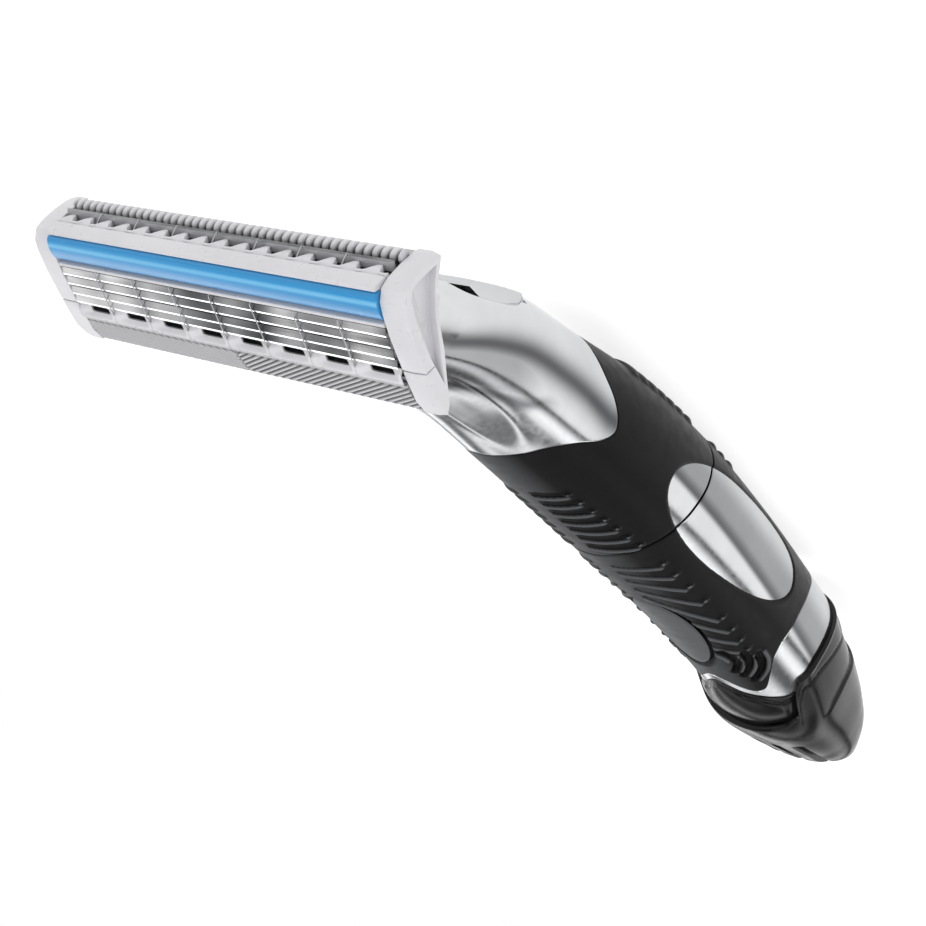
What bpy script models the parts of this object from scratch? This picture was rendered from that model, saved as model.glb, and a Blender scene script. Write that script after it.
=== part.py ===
"""Cartridge razor with a battery trimmer in its handle, lying on its back.

+X is the cartridge's long axis, +Y runs from the trimmer towards the shaving head, +Z is up.
All sizes are in millimetres and become metres when a mesh is made.
"""
import math

import bmesh
import bpy
import numpy as np
from mathutils import Vector

MM = 0.001
TAU = 2 * math.pi
GAP = 0.3                     # clearance between neighbouring pieces

# Handle: y, centre height, half depth, half width, from the shaving head to the trimmer.
HANDLE_STATIONS = (
    (75.3, 22.8, 3.0, 8.8),
    (69.0, 19.45, 3.9, 8.3),
    (63.0, 16.3, 5.2, 7.4),
    (56.0, 13.7, 6.1, 6.9),
    (48.5, 11.95, 7.3, 6.7),
    (38.5, 10.95, 8.1, 7.1),
    (25.5, 9.75, 9.15, 8.0),
    (9.0, 9.15, 9.82, 8.6),
    (-9.8, 9.35, 9.95, 8.7),
    (-28.0, 10.43, 10.0, 8.8),
    (-44.0, 12.25, 10.5, 9.2),
)
RING_SIDES = 24
GRIP_WALL = 0.9               # rubber over the plated core
GRIP_GAP = 0.15
CORE_WALL = 0.85
CORE_INSET = GRIP_WALL + GRIP_GAP
BORE_INSET = CORE_INSET + CORE_WALL
SPIGOT_INSET = BORE_INSET + 0.2
SPIGOT_WALL = 0.75

GRIP_START = 39.0             # the rubber's edge nearest the head
SEAM_Y = 11.9                 # where the two halves of the handle meet
SEAM_LEAN = 0.34              # the seam leans towards the head on the upper side
SPIGOT_END = 20.0
GRIP_END = -22.0
CORE_END = -29.6
NECK_END = 64.8
NECK_LEAN = -0.53             # the neck's end is square to its own slope
BORE_END = 33.8
BUTTON_Y = (48.6, 56.6)       # the eject button's two ends
BUTTON_TOP = 9.2

# Cartridge: its own frame is u up the shaving face, n out of it, turned about X.
FACE_TILT = math.radians(24.5)
FACE_ORIGIN = (76.6, 26.79)   # y, z of the guard's ridge
FRAME_HALF = 18.4
CAP_OUTER = 20.8
PIVOT_UN = (0.5, -4.2)
PIN_RADIUS = 0.65
DOCK_ANGLE = math.radians(28.0)
WIRE_PITCH = 4.6
BLADE_EDGES = (4.29, 3.3, 2.26, 1.38)
YOKE_HALF = 9.6
PLUNGER_Q = -0.9              # the plunger's axis, above the pivot's line
PLUNGER_RADIUS = 1.0
PLUNGER_END = 13.6

# Trimmer.
BATTERY_RADIUS = 5.25
BATTERY_Y = (-14.5, 30.0)
BATTERY_Z = 9.6
MOTOR_RADIUS = 5.0
MOTOR_Y = (-31.0, -16.3)
MOTOR_Z = 10.6
CAM_OFFSET = 0.5
COMB_OUTER = (                # y, top, bottom, half width
    (-37.4, 22.2, 2.8, 9.2), (-44.0, 21.8, 4.6, 9.0), (-50.0, 21.2, 7.0, 8.6), (-54.5, 20.6, 9.4, 7.9),
    (-57.2, 19.6, 12.4, 6.9),
)
COMB_WALL = 1.3
COMB_SLOTS = 4
COMB_SLOT_PITCH = 3.1
COMB_SLOT_HALF = 0.65

# The window in the rubber on each side, and the leaf-shaped button.
OVAL_CENTRE = (1.4, 7.8)      # y, z
OVAL_HALF = (17.9, 5.1)
OVAL_SLOPE = 0.02
LEAF_Y = -8.0
LEAF_HALF = (3.3, 8.5)


# ---------------------------------------------------------------- scene helpers

def clear_scene():
    for obj in list(bpy.data.objects):
        bpy.data.objects.remove(obj)


def material(name, colour, roughness, metallic=0.0):
    mat = bpy.data.materials.get(name)
    if mat is None:
        mat = bpy.data.materials.new(name)
        mat.use_nodes = True
        shader = mat.node_tree.nodes["Principled BSDF"]
        shader.inputs["Base Color"].default_value = (*colour, 1.0)
        shader.inputs["Roughness"].default_value = roughness
        shader.inputs["Metallic"].default_value = metallic
    return mat


def new_object(name, bm, mat, pivot=(0.0, 0.0, 0.0), smooth=False):
    """Turn a bmesh in millimetres into an object whose origin is at pivot."""
    bmesh.ops.recalc_face_normals(bm, faces=bm.faces)
    bmesh.ops.translate(bm, verts=bm.verts, vec=-Vector(pivot))
    bmesh.ops.scale(bm, verts=bm.verts, vec=(MM, MM, MM))
    mesh = bpy.data.meshes.new(name)
    bm.to_mesh(mesh)
    bm.free()
    obj = bpy.data.objects.new(name, mesh)
    obj.location = Vector(pivot) * MM
    bpy.context.scene.collection.objects.link(obj)
    if mat is not None:
        mesh.materials.append(mat)
    if smooth:
        mesh.shade_smooth()
        mesh.set_sharp_from_angle(angle=math.radians(40))
    return obj


def combine(obj, tool, operation):
    """Keep tool as a hidden guide and join it to, or cut it from, obj."""
    tool.hide_render = True
    tool.display_type = "WIRE"
    mod = obj.modifiers.new(operation.lower() + "_" + tool.name, "BOOLEAN")
    mod.object = tool
    mod.operation = operation
    mod.solver = "EXACT"
    return obj


def cut(obj, bm, name):
    return combine(obj, new_object(name, bm, None), "DIFFERENCE")


# ---------------------------------------------------------------- shape helpers

def hermite(position, column):
    """Smooth value of one column of the handle stations at a place along y."""
    table = np.array(HANDLE_STATIONS)[::-1]
    along = table[:, 0]
    values = table[:, column]
    slopes = np.gradient(values, along)
    place = min(max(position, along[0]), along[-1])
    i = int(np.clip(np.searchsorted(along, place) - 1, 0, len(along) - 2))
    step = along[i + 1] - along[i]
    t = (place - along[i]) / step
    a = (2 * t**3 - 3 * t**2 + 1) * values[i] + (t**3 - 2 * t**2 + t) * step * slopes[i]
    b = (3 * t**2 - 2 * t**3) * values[i + 1] + (t**3 - t**2) * step * slopes[i + 1]
    return float(a + b)


def handle_ring(y, inset=0.0, lean=0.0):
    """A ring of the handle's surface moved inwards by inset, flat where it lies down."""
    ring = []
    depth = hermite(y, 2)
    for i in range(RING_SIDES):
        angle = TAU * i / RING_SIDES
        along = y + lean * depth * math.cos(angle)
        x = (hermite(along, 3) - inset) * math.sin(angle)
        z = hermite(along, 1) + (hermite(along, 2) - inset) * math.cos(angle)
        ring.append((x, along, max(z, inset)))
    return ring


def loft(rings, closed=False):
    """Skin rings of equal length; open lofts get flat ends, closed ones join up."""
    bm = bmesh.new()
    loops = [[bm.verts.new(p) for p in ring] for ring in rings]
    count = len(loops[0])
    pairs = list(zip(loops, loops[1:]))
    if closed:
        pairs.append((loops[-1], loops[0]))
    for first, second in pairs:
        for i in range(count):
            j = (i + 1) % count
            bm.faces.new((first[i], first[j], second[j], second[i]))
    if not closed:
        bm.faces.new(loops[0][::-1])
        bm.faces.new(loops[-1])
    return bm


def spaced(start, stop, step):
    count = max(1, round(abs(stop - start) / step))
    return [start + (stop - start) * i / count for i in range(count + 1)]


def face_point(x, u, n):
    """World millimetres of a point given in the cartridge's frame."""
    y = FACE_ORIGIN[0] + u * math.cos(FACE_TILT) + n * math.sin(FACE_TILT)
    z = FACE_ORIGIN[1] - u * math.sin(FACE_TILT) + n * math.cos(FACE_TILT)
    return (x, y, z)


PIVOT = face_point(0.0, *PIVOT_UN)


def dock_point(x, p, q):
    """World millimetres of a point p behind the pivot along the neck and q above its axis."""
    y = PIVOT[1] - p * math.cos(DOCK_ANGLE) - q * math.sin(DOCK_ANGLE)
    z = PIVOT[2] - p * math.sin(DOCK_ANGLE) + q * math.cos(DOCK_ANGLE)
    return (x, y, z)


def prism(outline, x0, x1, place=face_point):
    """Extrude a (u, n) or (p, q) outline between two x positions."""
    near = [place(x0, a, b) for a, b in outline]
    far = [place(x1, a, b) for a, b in outline]
    return loft([near, far])


def box(x0, x1, a0, a1, b0, b1, place=face_point):
    return prism([(a0, b0), (a1, b0), (a1, b1), (a0, b1)], x0, x1, place)


def level(x, y, z):
    return (x, y, z)


def disc(radius, centre, sides=16):
    """Corners of a round outline."""
    points = []
    for i in range(sides):
        angle = TAU * i / sides
        points.append((centre[0] + radius * math.cos(angle), centre[1] + radius * math.sin(angle)))
    return points


def rod_y(profile, centre, sides=16):
    """Turned piece along Y from (y, radius) pairs; centre is its (x, z) axis."""
    rings = []
    for y, radius in profile:
        rings.append([(x, y, z) for x, z in disc(radius, centre, sides)])
    return loft(rings)


def tube_path(points, radius, sides=6):
    """Round wire along a list of points."""
    rings = []
    for i, point in enumerate(points):
        before = Vector(points[max(i - 1, 0)])
        after = Vector(points[min(i + 1, len(points) - 1)])
        along = (after - before).normalized()
        side = along.cross(Vector((0.123, 0.345, 0.931))).normalized()
        up = side.cross(along)
        ring = []
        for k in range(sides):
            angle = TAU * k / sides
            offset = side * (radius * math.cos(angle)) + up * (radius * math.sin(angle))
            ring.append(tuple(Vector(point) + offset))
        rings.append(ring)
    return loft(rings)


def coil(start, stop, radii, turns, wire, steps=10):
    """Helical spring between two points, its coil radius going from radii[0] to radii[1]."""
    start, stop = Vector(start), Vector(stop)
    axis = (stop - start).normalized()
    side = axis.cross(Vector((1, 0, 0)))
    if side.length < 0.1:
        side = axis.cross(Vector((0, 0, 1)))
    side.normalize()
    up = axis.cross(side)
    points = []
    total = turns * steps
    for i in range(total + 1):
        share = i / total
        angle = TAU * i / steps
        radius = radii[0] + (radii[1] - radii[0]) * share
        centre = start.lerp(stop, share)
        points.append(tuple(centre + side * radius * math.cos(angle) + up * radius * math.sin(angle)))
    return tube_path(points, wire, sides=5)


# ---------------------------------------------------------------- materials

LIGHT_PLASTIC = ("light_grey_plastic", (0.62, 0.63, 0.65), 0.35)
STEEL = ("blade_steel", (0.72, 0.73, 0.74), 0.2, 1.0)
CHROME = ("plated_chrome", (0.8, 0.81, 0.83), 0.12, 1.0)
RUBBER = ("black_rubber", (0.03, 0.03, 0.032), 0.6)
GUARD_RUBBER = ("grey_rubber", (0.5, 0.51, 0.54), 0.55)
STRIP = ("blue_strip", (0.06, 0.35, 0.7), 0.35)
GLOSS_BLACK = ("gloss_black_plastic", (0.02, 0.02, 0.022), 0.2)
DARK_PLASTIC = ("dark_plastic", (0.1, 0.1, 0.11), 0.45)
SPRING = ("spring_steel", (0.6, 0.6, 0.6), 0.3, 1.0)
CELL = ("battery_jacket", (0.1, 0.12, 0.14), 0.4)
CONTACT = ("contact_brass", (0.75, 0.6, 0.3), 0.3, 1.0)


# ---------------------------------------------------------------- cartridge

CAP_OUTLINE = (
    (8.34, -5.8), (8.46, -5.14), (8.55, -3.6), (8.5, -2.0), (8.2, -0.95), (7.3, -0.35), (6.3, -0.2),
    (4.25, -0.1), (0.33, -0.2), (-1.93, -0.4), (-3.34, -0.96), (-2.6, -1.55), (-0.75, -2.1),
    (1.6, -2.9), (3.6, -3.3), (6.2, -4.2),
)
FRAME_OUTLINE = (
    (-3.2, -1.35), (-0.05, -0.8), (0.05, 0.0), (0.4, 0.05), (0.95, -0.7), (1.05, -2.0), (5.05, -2.3),
    (5.05, -0.2), (5.35, -0.15), (5.45, -0.8), (8.05, -1.0), (8.15, -0.45), (8.5, -0.65), (8.55, -1.9),
    (7.95, -2.0), (7.9, -5.3), (8.2, -5.75), (6.2, -4.2), (3.6, -3.3), (1.6, -2.9), (-0.75, -2.1),
    (-2.6, -1.6),
)


def build_frame():
    frame = new_object("cartridge_frame", prism(FRAME_OUTLINE, -FRAME_HALF, FRAME_HALF),
                       material(*LIGHT_PLASTIC), PIVOT)
    for side in (-1, 1):
        ear = new_object("guide_ear", box(side * 9.9, side * 11.1, -1.0, 2.0, -5.7, -2.4), None)
        combine(frame, ear, "UNION")
        cut(frame, prism(disc(0.85, PIVOT_UN), side * 9.5, side * 11.5), "guide_ear_hole")
    for i in range(8):
        centre = (i - 3.5) * WIRE_PITCH
        cut(frame, box(centre - 1.6, centre + 1.6, 2.3, 4.6, -5.0, -1.0), "guide_rinse")
    return frame


def build_end_caps():
    for name, side in (("end_cap_left", -1), ("end_cap_right", 1)):
        bevel = 0.8
        middle = (3.0, -2.2)
        inner = [face_point(side * (FRAME_HALF + 0.15), u, n) for u, n in CAP_OUTLINE]
        shoulder = [face_point(side * (CAP_OUTER - bevel), u, n) for u, n in CAP_OUTLINE]
        outer = []
        for u, n in CAP_OUTLINE:
            shrink = 1 - bevel / 6
            outer.append(face_point(side * CAP_OUTER, middle[0] + (u - middle[0]) * shrink,
                                    middle[1] + (n - middle[1]) * shrink))
        new_object(name, loft([inner, shoulder, outer]), material(*LIGHT_PLASTIC), PIVOT)


def build_blades():
    thick = 0.12
    for i, edge in enumerate(BLADE_EDGES):
        outline = ((edge, -0.12), (edge + 0.62, -0.5), (edge + 0.68, -1.7), (edge + 0.68 - thick, -1.7),
                   (edge + 0.6 - thick, -0.58))
        new_object("blade_%d" % (i + 1), prism(outline, -FRAME_HALF + 0.1, FRAME_HALF - 0.1),
                   material(*STEEL), PIVOT)
    edging = ((8.15, -3.2), (8.95, -3.38), (8.15, -3.4))
    new_object("edging_blade", prism(edging, -FRAME_HALF + 0.1, FRAME_HALF - 0.1), material(*STEEL), PIVOT)


def build_guard_and_strip():
    guard = ((-3.3, -1.1), (-2.9, -0.55), (-0.25, -0.1), (-0.25, -0.6))
    new_object("guard_strip", prism(guard, -FRAME_HALF, FRAME_HALF), material(*GUARD_RUBBER), PIVOT)
    strip = [(5.6, -0.65), (5.75, -0.35), (6.3, -0.1), (6.9, -0.05), (7.5, -0.15), (7.9, -0.45), (7.9, -0.85)]
    new_object("lube_strip", prism(strip, -FRAME_HALF + 0.2, FRAME_HALF - 0.2), material(*STRIP), PIVOT)


def build_edging_guard():
    """Toothed plate in front of the edging blade, and the ribbed bar behind it."""
    teeth = 16
    tooth = 2 * FRAME_HALF / teeth
    top = []
    for i in range(teeth):
        start = -FRAME_HALF + i * tooth
        top += [(start + 0.15 * tooth, 8.25), (start + 0.55 * tooth, 8.7), (start + 0.8 * tooth, 8.7)]
    outline = [(-FRAME_HALF, 8.25)] + top + [(FRAME_HALF, 8.25), (FRAME_HALF, 8.05), (-FRAME_HALF, 8.05)]
    near = [face_point(x, u, -2.15) for x, u in outline]
    far = [face_point(x, u, -3.05) for x, u in outline]
    new_object("edging_guard", loft([near, far]), material(*LIGHT_PLASTIC), PIVOT)
    bar = disc(0.62, (8.85, -4.7), 10)
    new_object("edging_bar", prism(bar, -FRAME_HALF, FRAME_HALF), material(*LIGHT_PLASTIC), PIVOT)


def build_wires():
    half = 0.1
    outline = ((0.7, 0.02), (0.7, 0.22), (4.95, 0.22), (4.95, -0.5), (4.8, -0.5), (4.8, 0.02))
    for i in range(7):
        x = (i - 3) * WIRE_PITCH
        new_object("wrap_wire_%d" % (i + 1), prism(outline, x - half, x + half), material(*STEEL), PIVOT)


# ---------------------------------------------------------------- head

def build_connector():
    """Yoke that clips on the neck and carries the cartridge on two pins."""
    end = disc(1.35, (0.0, 0.0), 16)
    arm_end = [p for p in end if p[0] < 0.01]
    outline = sorted(arm_end, key=lambda p: p[1]) + [(4.0, 1.4), (5.2, 3.2), (11.0, 3.2), (11.0, -3.2),
                                                    (5.2, -3.2), (4.0, -1.4)]
    pivot = dock_point(0.0, 11.0, 0.0)
    yoke = new_object("cartridge_connector", prism(outline, -YOKE_HALF, YOKE_HALF, dock_point),
                      material(*LIGHT_PLASTIC), pivot)
    cut(yoke, box(-7.8, 7.8, -3.0, 4.6, -5.0, 5.0, dock_point), "guide_yoke_gap")
    cut(yoke, box(-5.9, 5.9, 4.0, 12.0, -2.5, 2.5, dock_point), "guide_yoke_socket")
    for name, side in (("pivot_pin_left", -1), ("pivot_pin_right", 1)):
        cut(yoke, prism(disc(0.85, (0.0, 0.0)), side * 7.0, side * 10.0, dock_point), "guide_pin_hole")
        new_object(name, prism(disc(PIN_RADIUS, (0.0, 0.0)), side * 8.0, side * 11.0, dock_point),
                   material(*SPRING), PIVOT, smooth=True)


def dock_rod(profile, q, sides=12):
    """Turned piece along the neck axis from (p, radius) pairs."""
    rings = []
    for p, radius in profile:
        rings.append([dock_point(x, p, b) for x, b in disc(radius, (0.0, q), sides)])
    return loft(rings)


def build_plunger():
    profile = ((-1.75, 0.35), (-1.35, 0.8), (-0.7, PLUNGER_RADIUS), (PLUNGER_END, PLUNGER_RADIUS))
    new_object("plunger", dock_rod(profile, PLUNGER_Q), material(*DARK_PLASTIC),
               dock_point(0.0, PLUNGER_END, PLUNGER_Q), smooth=True)
    foot = dock_point(0.0, PLUNGER_END + 0.5, PLUNGER_Q)
    spring = coil(foot, dock_point(0.0, 19.6, PLUNGER_Q), (0.75, 0.75), 6, 0.14)
    new_object("plunger_spring", spring, material(*SPRING), smooth=True)


def build_head_body():
    """Plated neck with the tongue for the cartridge and the upper half of the battery bore."""
    rings = []
    for y in spaced(NECK_END, GRIP_START + GAP, 3.3):
        share = (y - GRIP_START) / (NECK_END - GRIP_START)
        rings.append(handle_ring(y, 0.0, NECK_LEAN * share**1.5))
    for y in spaced(GRIP_START, 16.0, 4.6) + [SEAM_Y + GAP]:
        rings.append(handle_ring(y, CORE_INSET, SEAM_LEAN if y < 20 else 0.0))
    for y in [SEAM_Y + GAP] + spaced(16.0, BORE_END, 4.5):
        rings.append(handle_ring(y, BORE_INSET, SEAM_LEAN if y < 20 else 0.0))
    body = new_object("head_body", loft(rings), material(*CHROME), smooth=True)
    tongue = new_object("guide_tongue", box(-5.6, 5.6, 5.0, 14.0, -2.2, 2.2, dock_point), None)
    combine(body, tongue, "UNION")
    cut(body, dock_rod(((4.0, 1.25), (20.0, 1.25)), PLUNGER_Q), "guide_plunger_bore")
    pocket = box(-3.6, 3.6, BUTTON_Y[0] - GAP, 61.2, 0.0, BUTTON_TOP + 1.7, level)
    cut(body, pocket, "guide_button_pocket")
    return body


def build_eject_button():
    """Thumb-side slide that pushes the cartridge off; its cap follows the neck's curve."""
    outline = []
    for y in spaced(*BUTTON_Y, 1.1):
        outline.append((y, hermite(y, 1) - hermite(y, 2) + 0.15))
    outline += [(BUTTON_Y[1], BUTTON_TOP), (BUTTON_Y[0], BUTTON_TOP)]
    button = new_object("eject_button", prism(outline, -3.2, 3.2, level), material(*CHROME),
                        (0.0, BUTTON_Y[0], BUTTON_TOP), smooth=True)
    bevel = button.modifiers.new("edge", "BEVEL")
    bevel.width = 0.0003
    bevel.segments = 1
    spring = coil((0.0, BUTTON_Y[1] + 0.4, 9.7), (0.0, 60.7, 9.9), (0.7, 0.7), 4, 0.14)
    new_object("eject_spring", spring, material(*SPRING), smooth=True)


# ---------------------------------------------------------------- handle

def sleeve(start, stop, start_lean, stop_lean, step=4.0):
    """Rubber sleeve of constant wall over the core."""
    places = spaced(start, stop, step)
    leans = [start_lean + (stop_lean - start_lean) * i / (len(places) - 1) for i in range(len(places))]
    outer = [handle_ring(y, 0.0, lean) for y, lean in zip(places, leans)]
    inner = [handle_ring(y, GRIP_WALL, lean) for y, lean in zip(places, leans)]
    return loft(outer + inner[::-1], closed=True)


def oval_prism(side, grow):
    """Outline of the side window, swept sideways from inside the core to outside the rubber."""
    centre_y, centre_z = OVAL_CENTRE
    half_length, half_height = OVAL_HALF[0] + grow, OVAL_HALF[1] + grow
    points = []
    for i in range(40):
        angle = TAU * i / 40
        c, s = math.cos(angle), math.sin(angle)
        y = centre_y + half_length * math.copysign(abs(c) ** 0.9, c)
        z = centre_z + half_height * math.copysign(abs(s) ** 0.9, s) + OVAL_SLOPE * (y - centre_y)
        points.append((y, z))
    return prism(points, side * 3.0, side * 12.0, level)


def side_trims(prefix, start, stop, start_lean, stop_lean):
    """The plated inlays: the part of the sleeve's own shape that lies inside the oval."""
    for name, side in (("left", -1), ("right", 1)):
        trim = new_object("%s_side_trim_%s" % (prefix, name),
                          sleeve(start, stop, start_lean, stop_lean), material(*CHROME), smooth=True)
        combine(trim, new_object("guide_trim", oval_prism(side, -0.3), None), "INTERSECT")


def build_upper_grip():
    grip = new_object("upper_grip", sleeve(GRIP_START, SEAM_Y + GAP, 0.0, SEAM_LEAN), material(*RUBBER),
                      smooth=True)
    for side in (-1, 1):
        cut(grip, oval_prism(side, 0.0), "guide_window")
    side_trims("upper", GRIP_START, SEAM_Y + GAP, 0.0, SEAM_LEAN)


def leaf_prism(grow, z0, z1):
    """Pointed oval of the power button, swept upwards."""
    points = []
    for i in range(24):
        angle = TAU * i / 24
        points.append(((LEAF_HALF[0] + grow) * math.sin(angle),
                       LEAF_Y + (LEAF_HALF[1] + grow) * math.cos(angle)))
    return loft([[(x, y, z0) for x, y in points], [(x, y, z1) for x, y in points]])


def build_lower_grip():
    grip = new_object("lower_grip", sleeve(SEAM_Y, GRIP_END, SEAM_LEAN, 0.0), material(*RUBBER), smooth=True)
    for side in (-1, 1):
        cut(grip, oval_prism(side, 0.0), "guide_window")
    cut(grip, leaf_prism(0.0, 14.0, 24.0), "guide_leaf")
    side_trims("lower", SEAM_Y, GRIP_END, SEAM_LEAN, 0.0)


def build_lower_body():
    """Plated core of the lower half, with the spigot that plugs into the head's bore."""
    rings = [handle_ring(SPIGOT_END, SPIGOT_INSET), handle_ring(16.0, SPIGOT_INSET, SEAM_LEAN),
             handle_ring(SEAM_Y, SPIGOT_INSET, SEAM_LEAN), handle_ring(SEAM_Y, CORE_INSET, SEAM_LEAN)]
    rings += [handle_ring(y, CORE_INSET) for y in spaced(7.0, GRIP_END, 4.8)]
    rings += [handle_ring(GRIP_END - GAP), handle_ring(CORE_END + 3.5), handle_ring(CORE_END)]
    inner = SPIGOT_INSET + SPIGOT_WALL
    rings += [handle_ring(y, inner) for y in spaced(CORE_END, 7.0, 6.1)]
    rings += [handle_ring(SEAM_Y, inner, SEAM_LEAN), handle_ring(16.0, inner, SEAM_LEAN)]
    rings += [handle_ring(SPIGOT_END, inner)]
    core = new_object("lower_body", loft(rings, closed=True), material(*CHROME), smooth=True)
    cut(core, leaf_prism(0.0, 14.0, 24.0), "guide_leaf_core")
    return core


def build_power_button():
    """Soft leaf-shaped button in the upper side of the lower grip."""
    solid = [handle_ring(y) for y in spaced(2.0, -18.0, 3.3)]
    button = new_object("power_button", leaf_prism(-0.3, 17.0, 24.0), material(*RUBBER), smooth=True)
    combine(button, new_object("guide_button_top", loft(solid), None), "INTERSECT")


def build_electrics():
    cell = rod_y(((BATTERY_Y[0], BATTERY_RADIUS), (BATTERY_Y[1] - 1.0, BATTERY_RADIUS),
                  (BATTERY_Y[1] - 0.9, 1.9), (BATTERY_Y[1], 1.9)), (0.0, BATTERY_Z), 24)
    new_object("battery", cell, material(*CELL), smooth=True)
    spring = coil((0.0, 30.7, BATTERY_Z + 0.2), (0.0, 33.3, BATTERY_Z + 0.2), (2.2, 3.4), 3, 0.2)
    new_object("battery_spring", spring, material(*SPRING), smooth=True)
    plate = box(-3.5, 3.5, BATTERY_Y[0] - 0.8, BATTERY_Y[0] - 0.3, BATTERY_Z - 3.5, BATTERY_Z + 3.5, level)
    new_object("contact_plate", plate, material(*CONTACT))
    motor = rod_y(((MOTOR_Y[1], MOTOR_RADIUS), (MOTOR_Y[0] + 0.8, MOTOR_RADIUS), (MOTOR_Y[0] + 0.75, 2.2),
                   (MOTOR_Y[0], 2.2)), (0.0, MOTOR_Z), 20)
    new_object("motor", motor, material(*SPRING), smooth=True)
    switch = box(-2.4, 2.4, -11.0, -5.0, 15.1, 16.3, level)
    new_object("power_switch", switch, material(*DARK_PLASTIC))


def build_o_ring():
    """Round rubber seal at the foot of the spigot."""
    rings = []
    sections = 6
    for k in range(sections):
        angle = TAU * k / sections
        inset = SPIGOT_INSET - 0.45 + 0.25 * math.cos(angle)
        shift = 0.25 * math.sin(angle)
        rings.append([(x, y + shift, z) for x, y, z in handle_ring(SPIGOT_END + 0.9, inset + 0.55)])
    new_object("o_ring", loft(rings, closed=True), material(*RUBBER), smooth=True)


# ---------------------------------------------------------------- trimmer

def end_ring(y, top, bottom, half_width, power=2.5):
    """Rounded-box ring for the trimmer's end pieces."""
    ring = []
    middle = (top + bottom) / 2
    half = (top - bottom) / 2
    for i in range(RING_SIDES):
        angle = TAU * i / RING_SIDES
        s, c = math.sin(angle), math.cos(angle)
        ring.append((half_width * math.copysign(abs(s) ** (2 / power), s), y,
                     middle + half * math.copysign(abs(c) ** (2 / power), c)))
    return ring


def build_collar():
    """Black collar on the end of the core, with the nose that the comb slides over."""
    nose = ((-37.05, 20.3, 4.7, 7.1), (-43.0, 19.8, 6.4, 6.9))
    rings = [handle_ring(CORE_END - GAP), handle_ring(-33.0), handle_ring(-37.0)]
    rings += [end_ring(*row) for row in nose]
    rings += [end_ring(y, top - 1.3, bottom + 1.3, half - 1.3) for y, top, bottom, half in nose[::-1]]
    rings += [handle_ring(-36.0, SPIGOT_INSET + SPIGOT_WALL), handle_ring(CORE_END - GAP, 2.8)]
    new_object("trimmer_collar", loft(rings, closed=True), material(*GLOSS_BLACK), smooth=True)


def build_comb():
    rings = [end_ring(*row) for row in COMB_OUTER]
    inner = [(y, top - COMB_WALL, bottom + COMB_WALL, half - COMB_WALL)
             for y, top, bottom, half in COMB_OUTER]
    rings += [end_ring(*row) for row in inner[3::-1]]
    axis = (0.0, COMB_OUTER[0][0], 12.5)
    comb = new_object("comb", loft(rings), material(*GLOSS_BLACK), axis, smooth=True)
    for i in range(COMB_SLOTS):
        x = (i - (COMB_SLOTS - 1) / 2) * COMB_SLOT_PITCH
        slot = box(x - COMB_SLOT_HALF, x + COMB_SLOT_HALF, -60.3, -47.1, 15.63, 24.3, level)
        cut(comb, slot, "guide_comb_slot")
    return comb


def toothed_plate(x_half, y_back, y_root, y_tip, z0, z1, teeth):
    """Flat blade whose front edge is a row of pointed teeth."""
    pitch = 2 * x_half / teeth
    outline = [(-x_half, y_back)]
    for i in range(teeth):
        x = -x_half + i * pitch
        outline += [(x, y_root), (x + 0.3 * pitch, y_tip), (x + 0.6 * pitch, y_tip)]
    outline += [(x_half, y_root), (x_half, y_back)]
    return loft([[(x, y, z0) for x, y in outline], [(x, y, z1) for x, y in outline]])


def build_trimmer():
    fixed = toothed_plate(5.2, -43.5, -49.2, -51.8, 15.0, 15.5, 12)
    new_object("fixed_blade", fixed, material(*STEEL))
    cutter = toothed_plate(4.2, -44.0, -48.6, -51.0, 15.8, 16.3, 10)
    pivot = (0.0, -44.0, 15.8)
    new_object("moving_cutter", cutter, material(*STEEL), pivot)
    carrier = box(-3.2, 3.2, -47.0, -37.6, 16.6, 17.4, level)
    carrier_obj = new_object("cutter_carrier", carrier, material(*DARK_PLASTIC), pivot)
    fork = new_object("guide_fork", box(-3.2, 3.2, -39.2, -37.6, 8.4, 17.0, level), None)
    combine(carrier_obj, fork, "UNION")
    cut(carrier_obj, box(-1.8, 1.8, -40.0, -37.0, 7.0, 13.6, level), "guide_fork_slot")
    cam = rod_y(((-31.4, 0.6), (-33.6, 0.6), (-33.65, 2.2), (-35.6, 2.2)), (0.0, MOTOR_Z), 16)
    cam_obj = new_object("drive_cam", cam, material(*DARK_PLASTIC), (0.0, -31.4, MOTOR_Z), smooth=True)
    pin = new_object("guide_pin", rod_y(((-35.0, 0.45), (-38.9, 0.45)), (CAM_OFFSET, MOTOR_Z), 10), None)
    combine(cam_obj, pin, "UNION")


def build_all():
    clear_scene()
    build_frame()
    build_end_caps()
    build_blades()
    build_guard_and_strip()
    build_edging_guard()
    build_wires()
    build_connector()
    build_plunger()
    build_head_body()
    build_eject_button()
    build_upper_grip()
    build_lower_grip()
    build_lower_body()
    build_power_button()
    build_electrics()
    build_o_ring()
    build_collar()
    build_comb()
    build_trimmer()


build_all()
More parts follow.
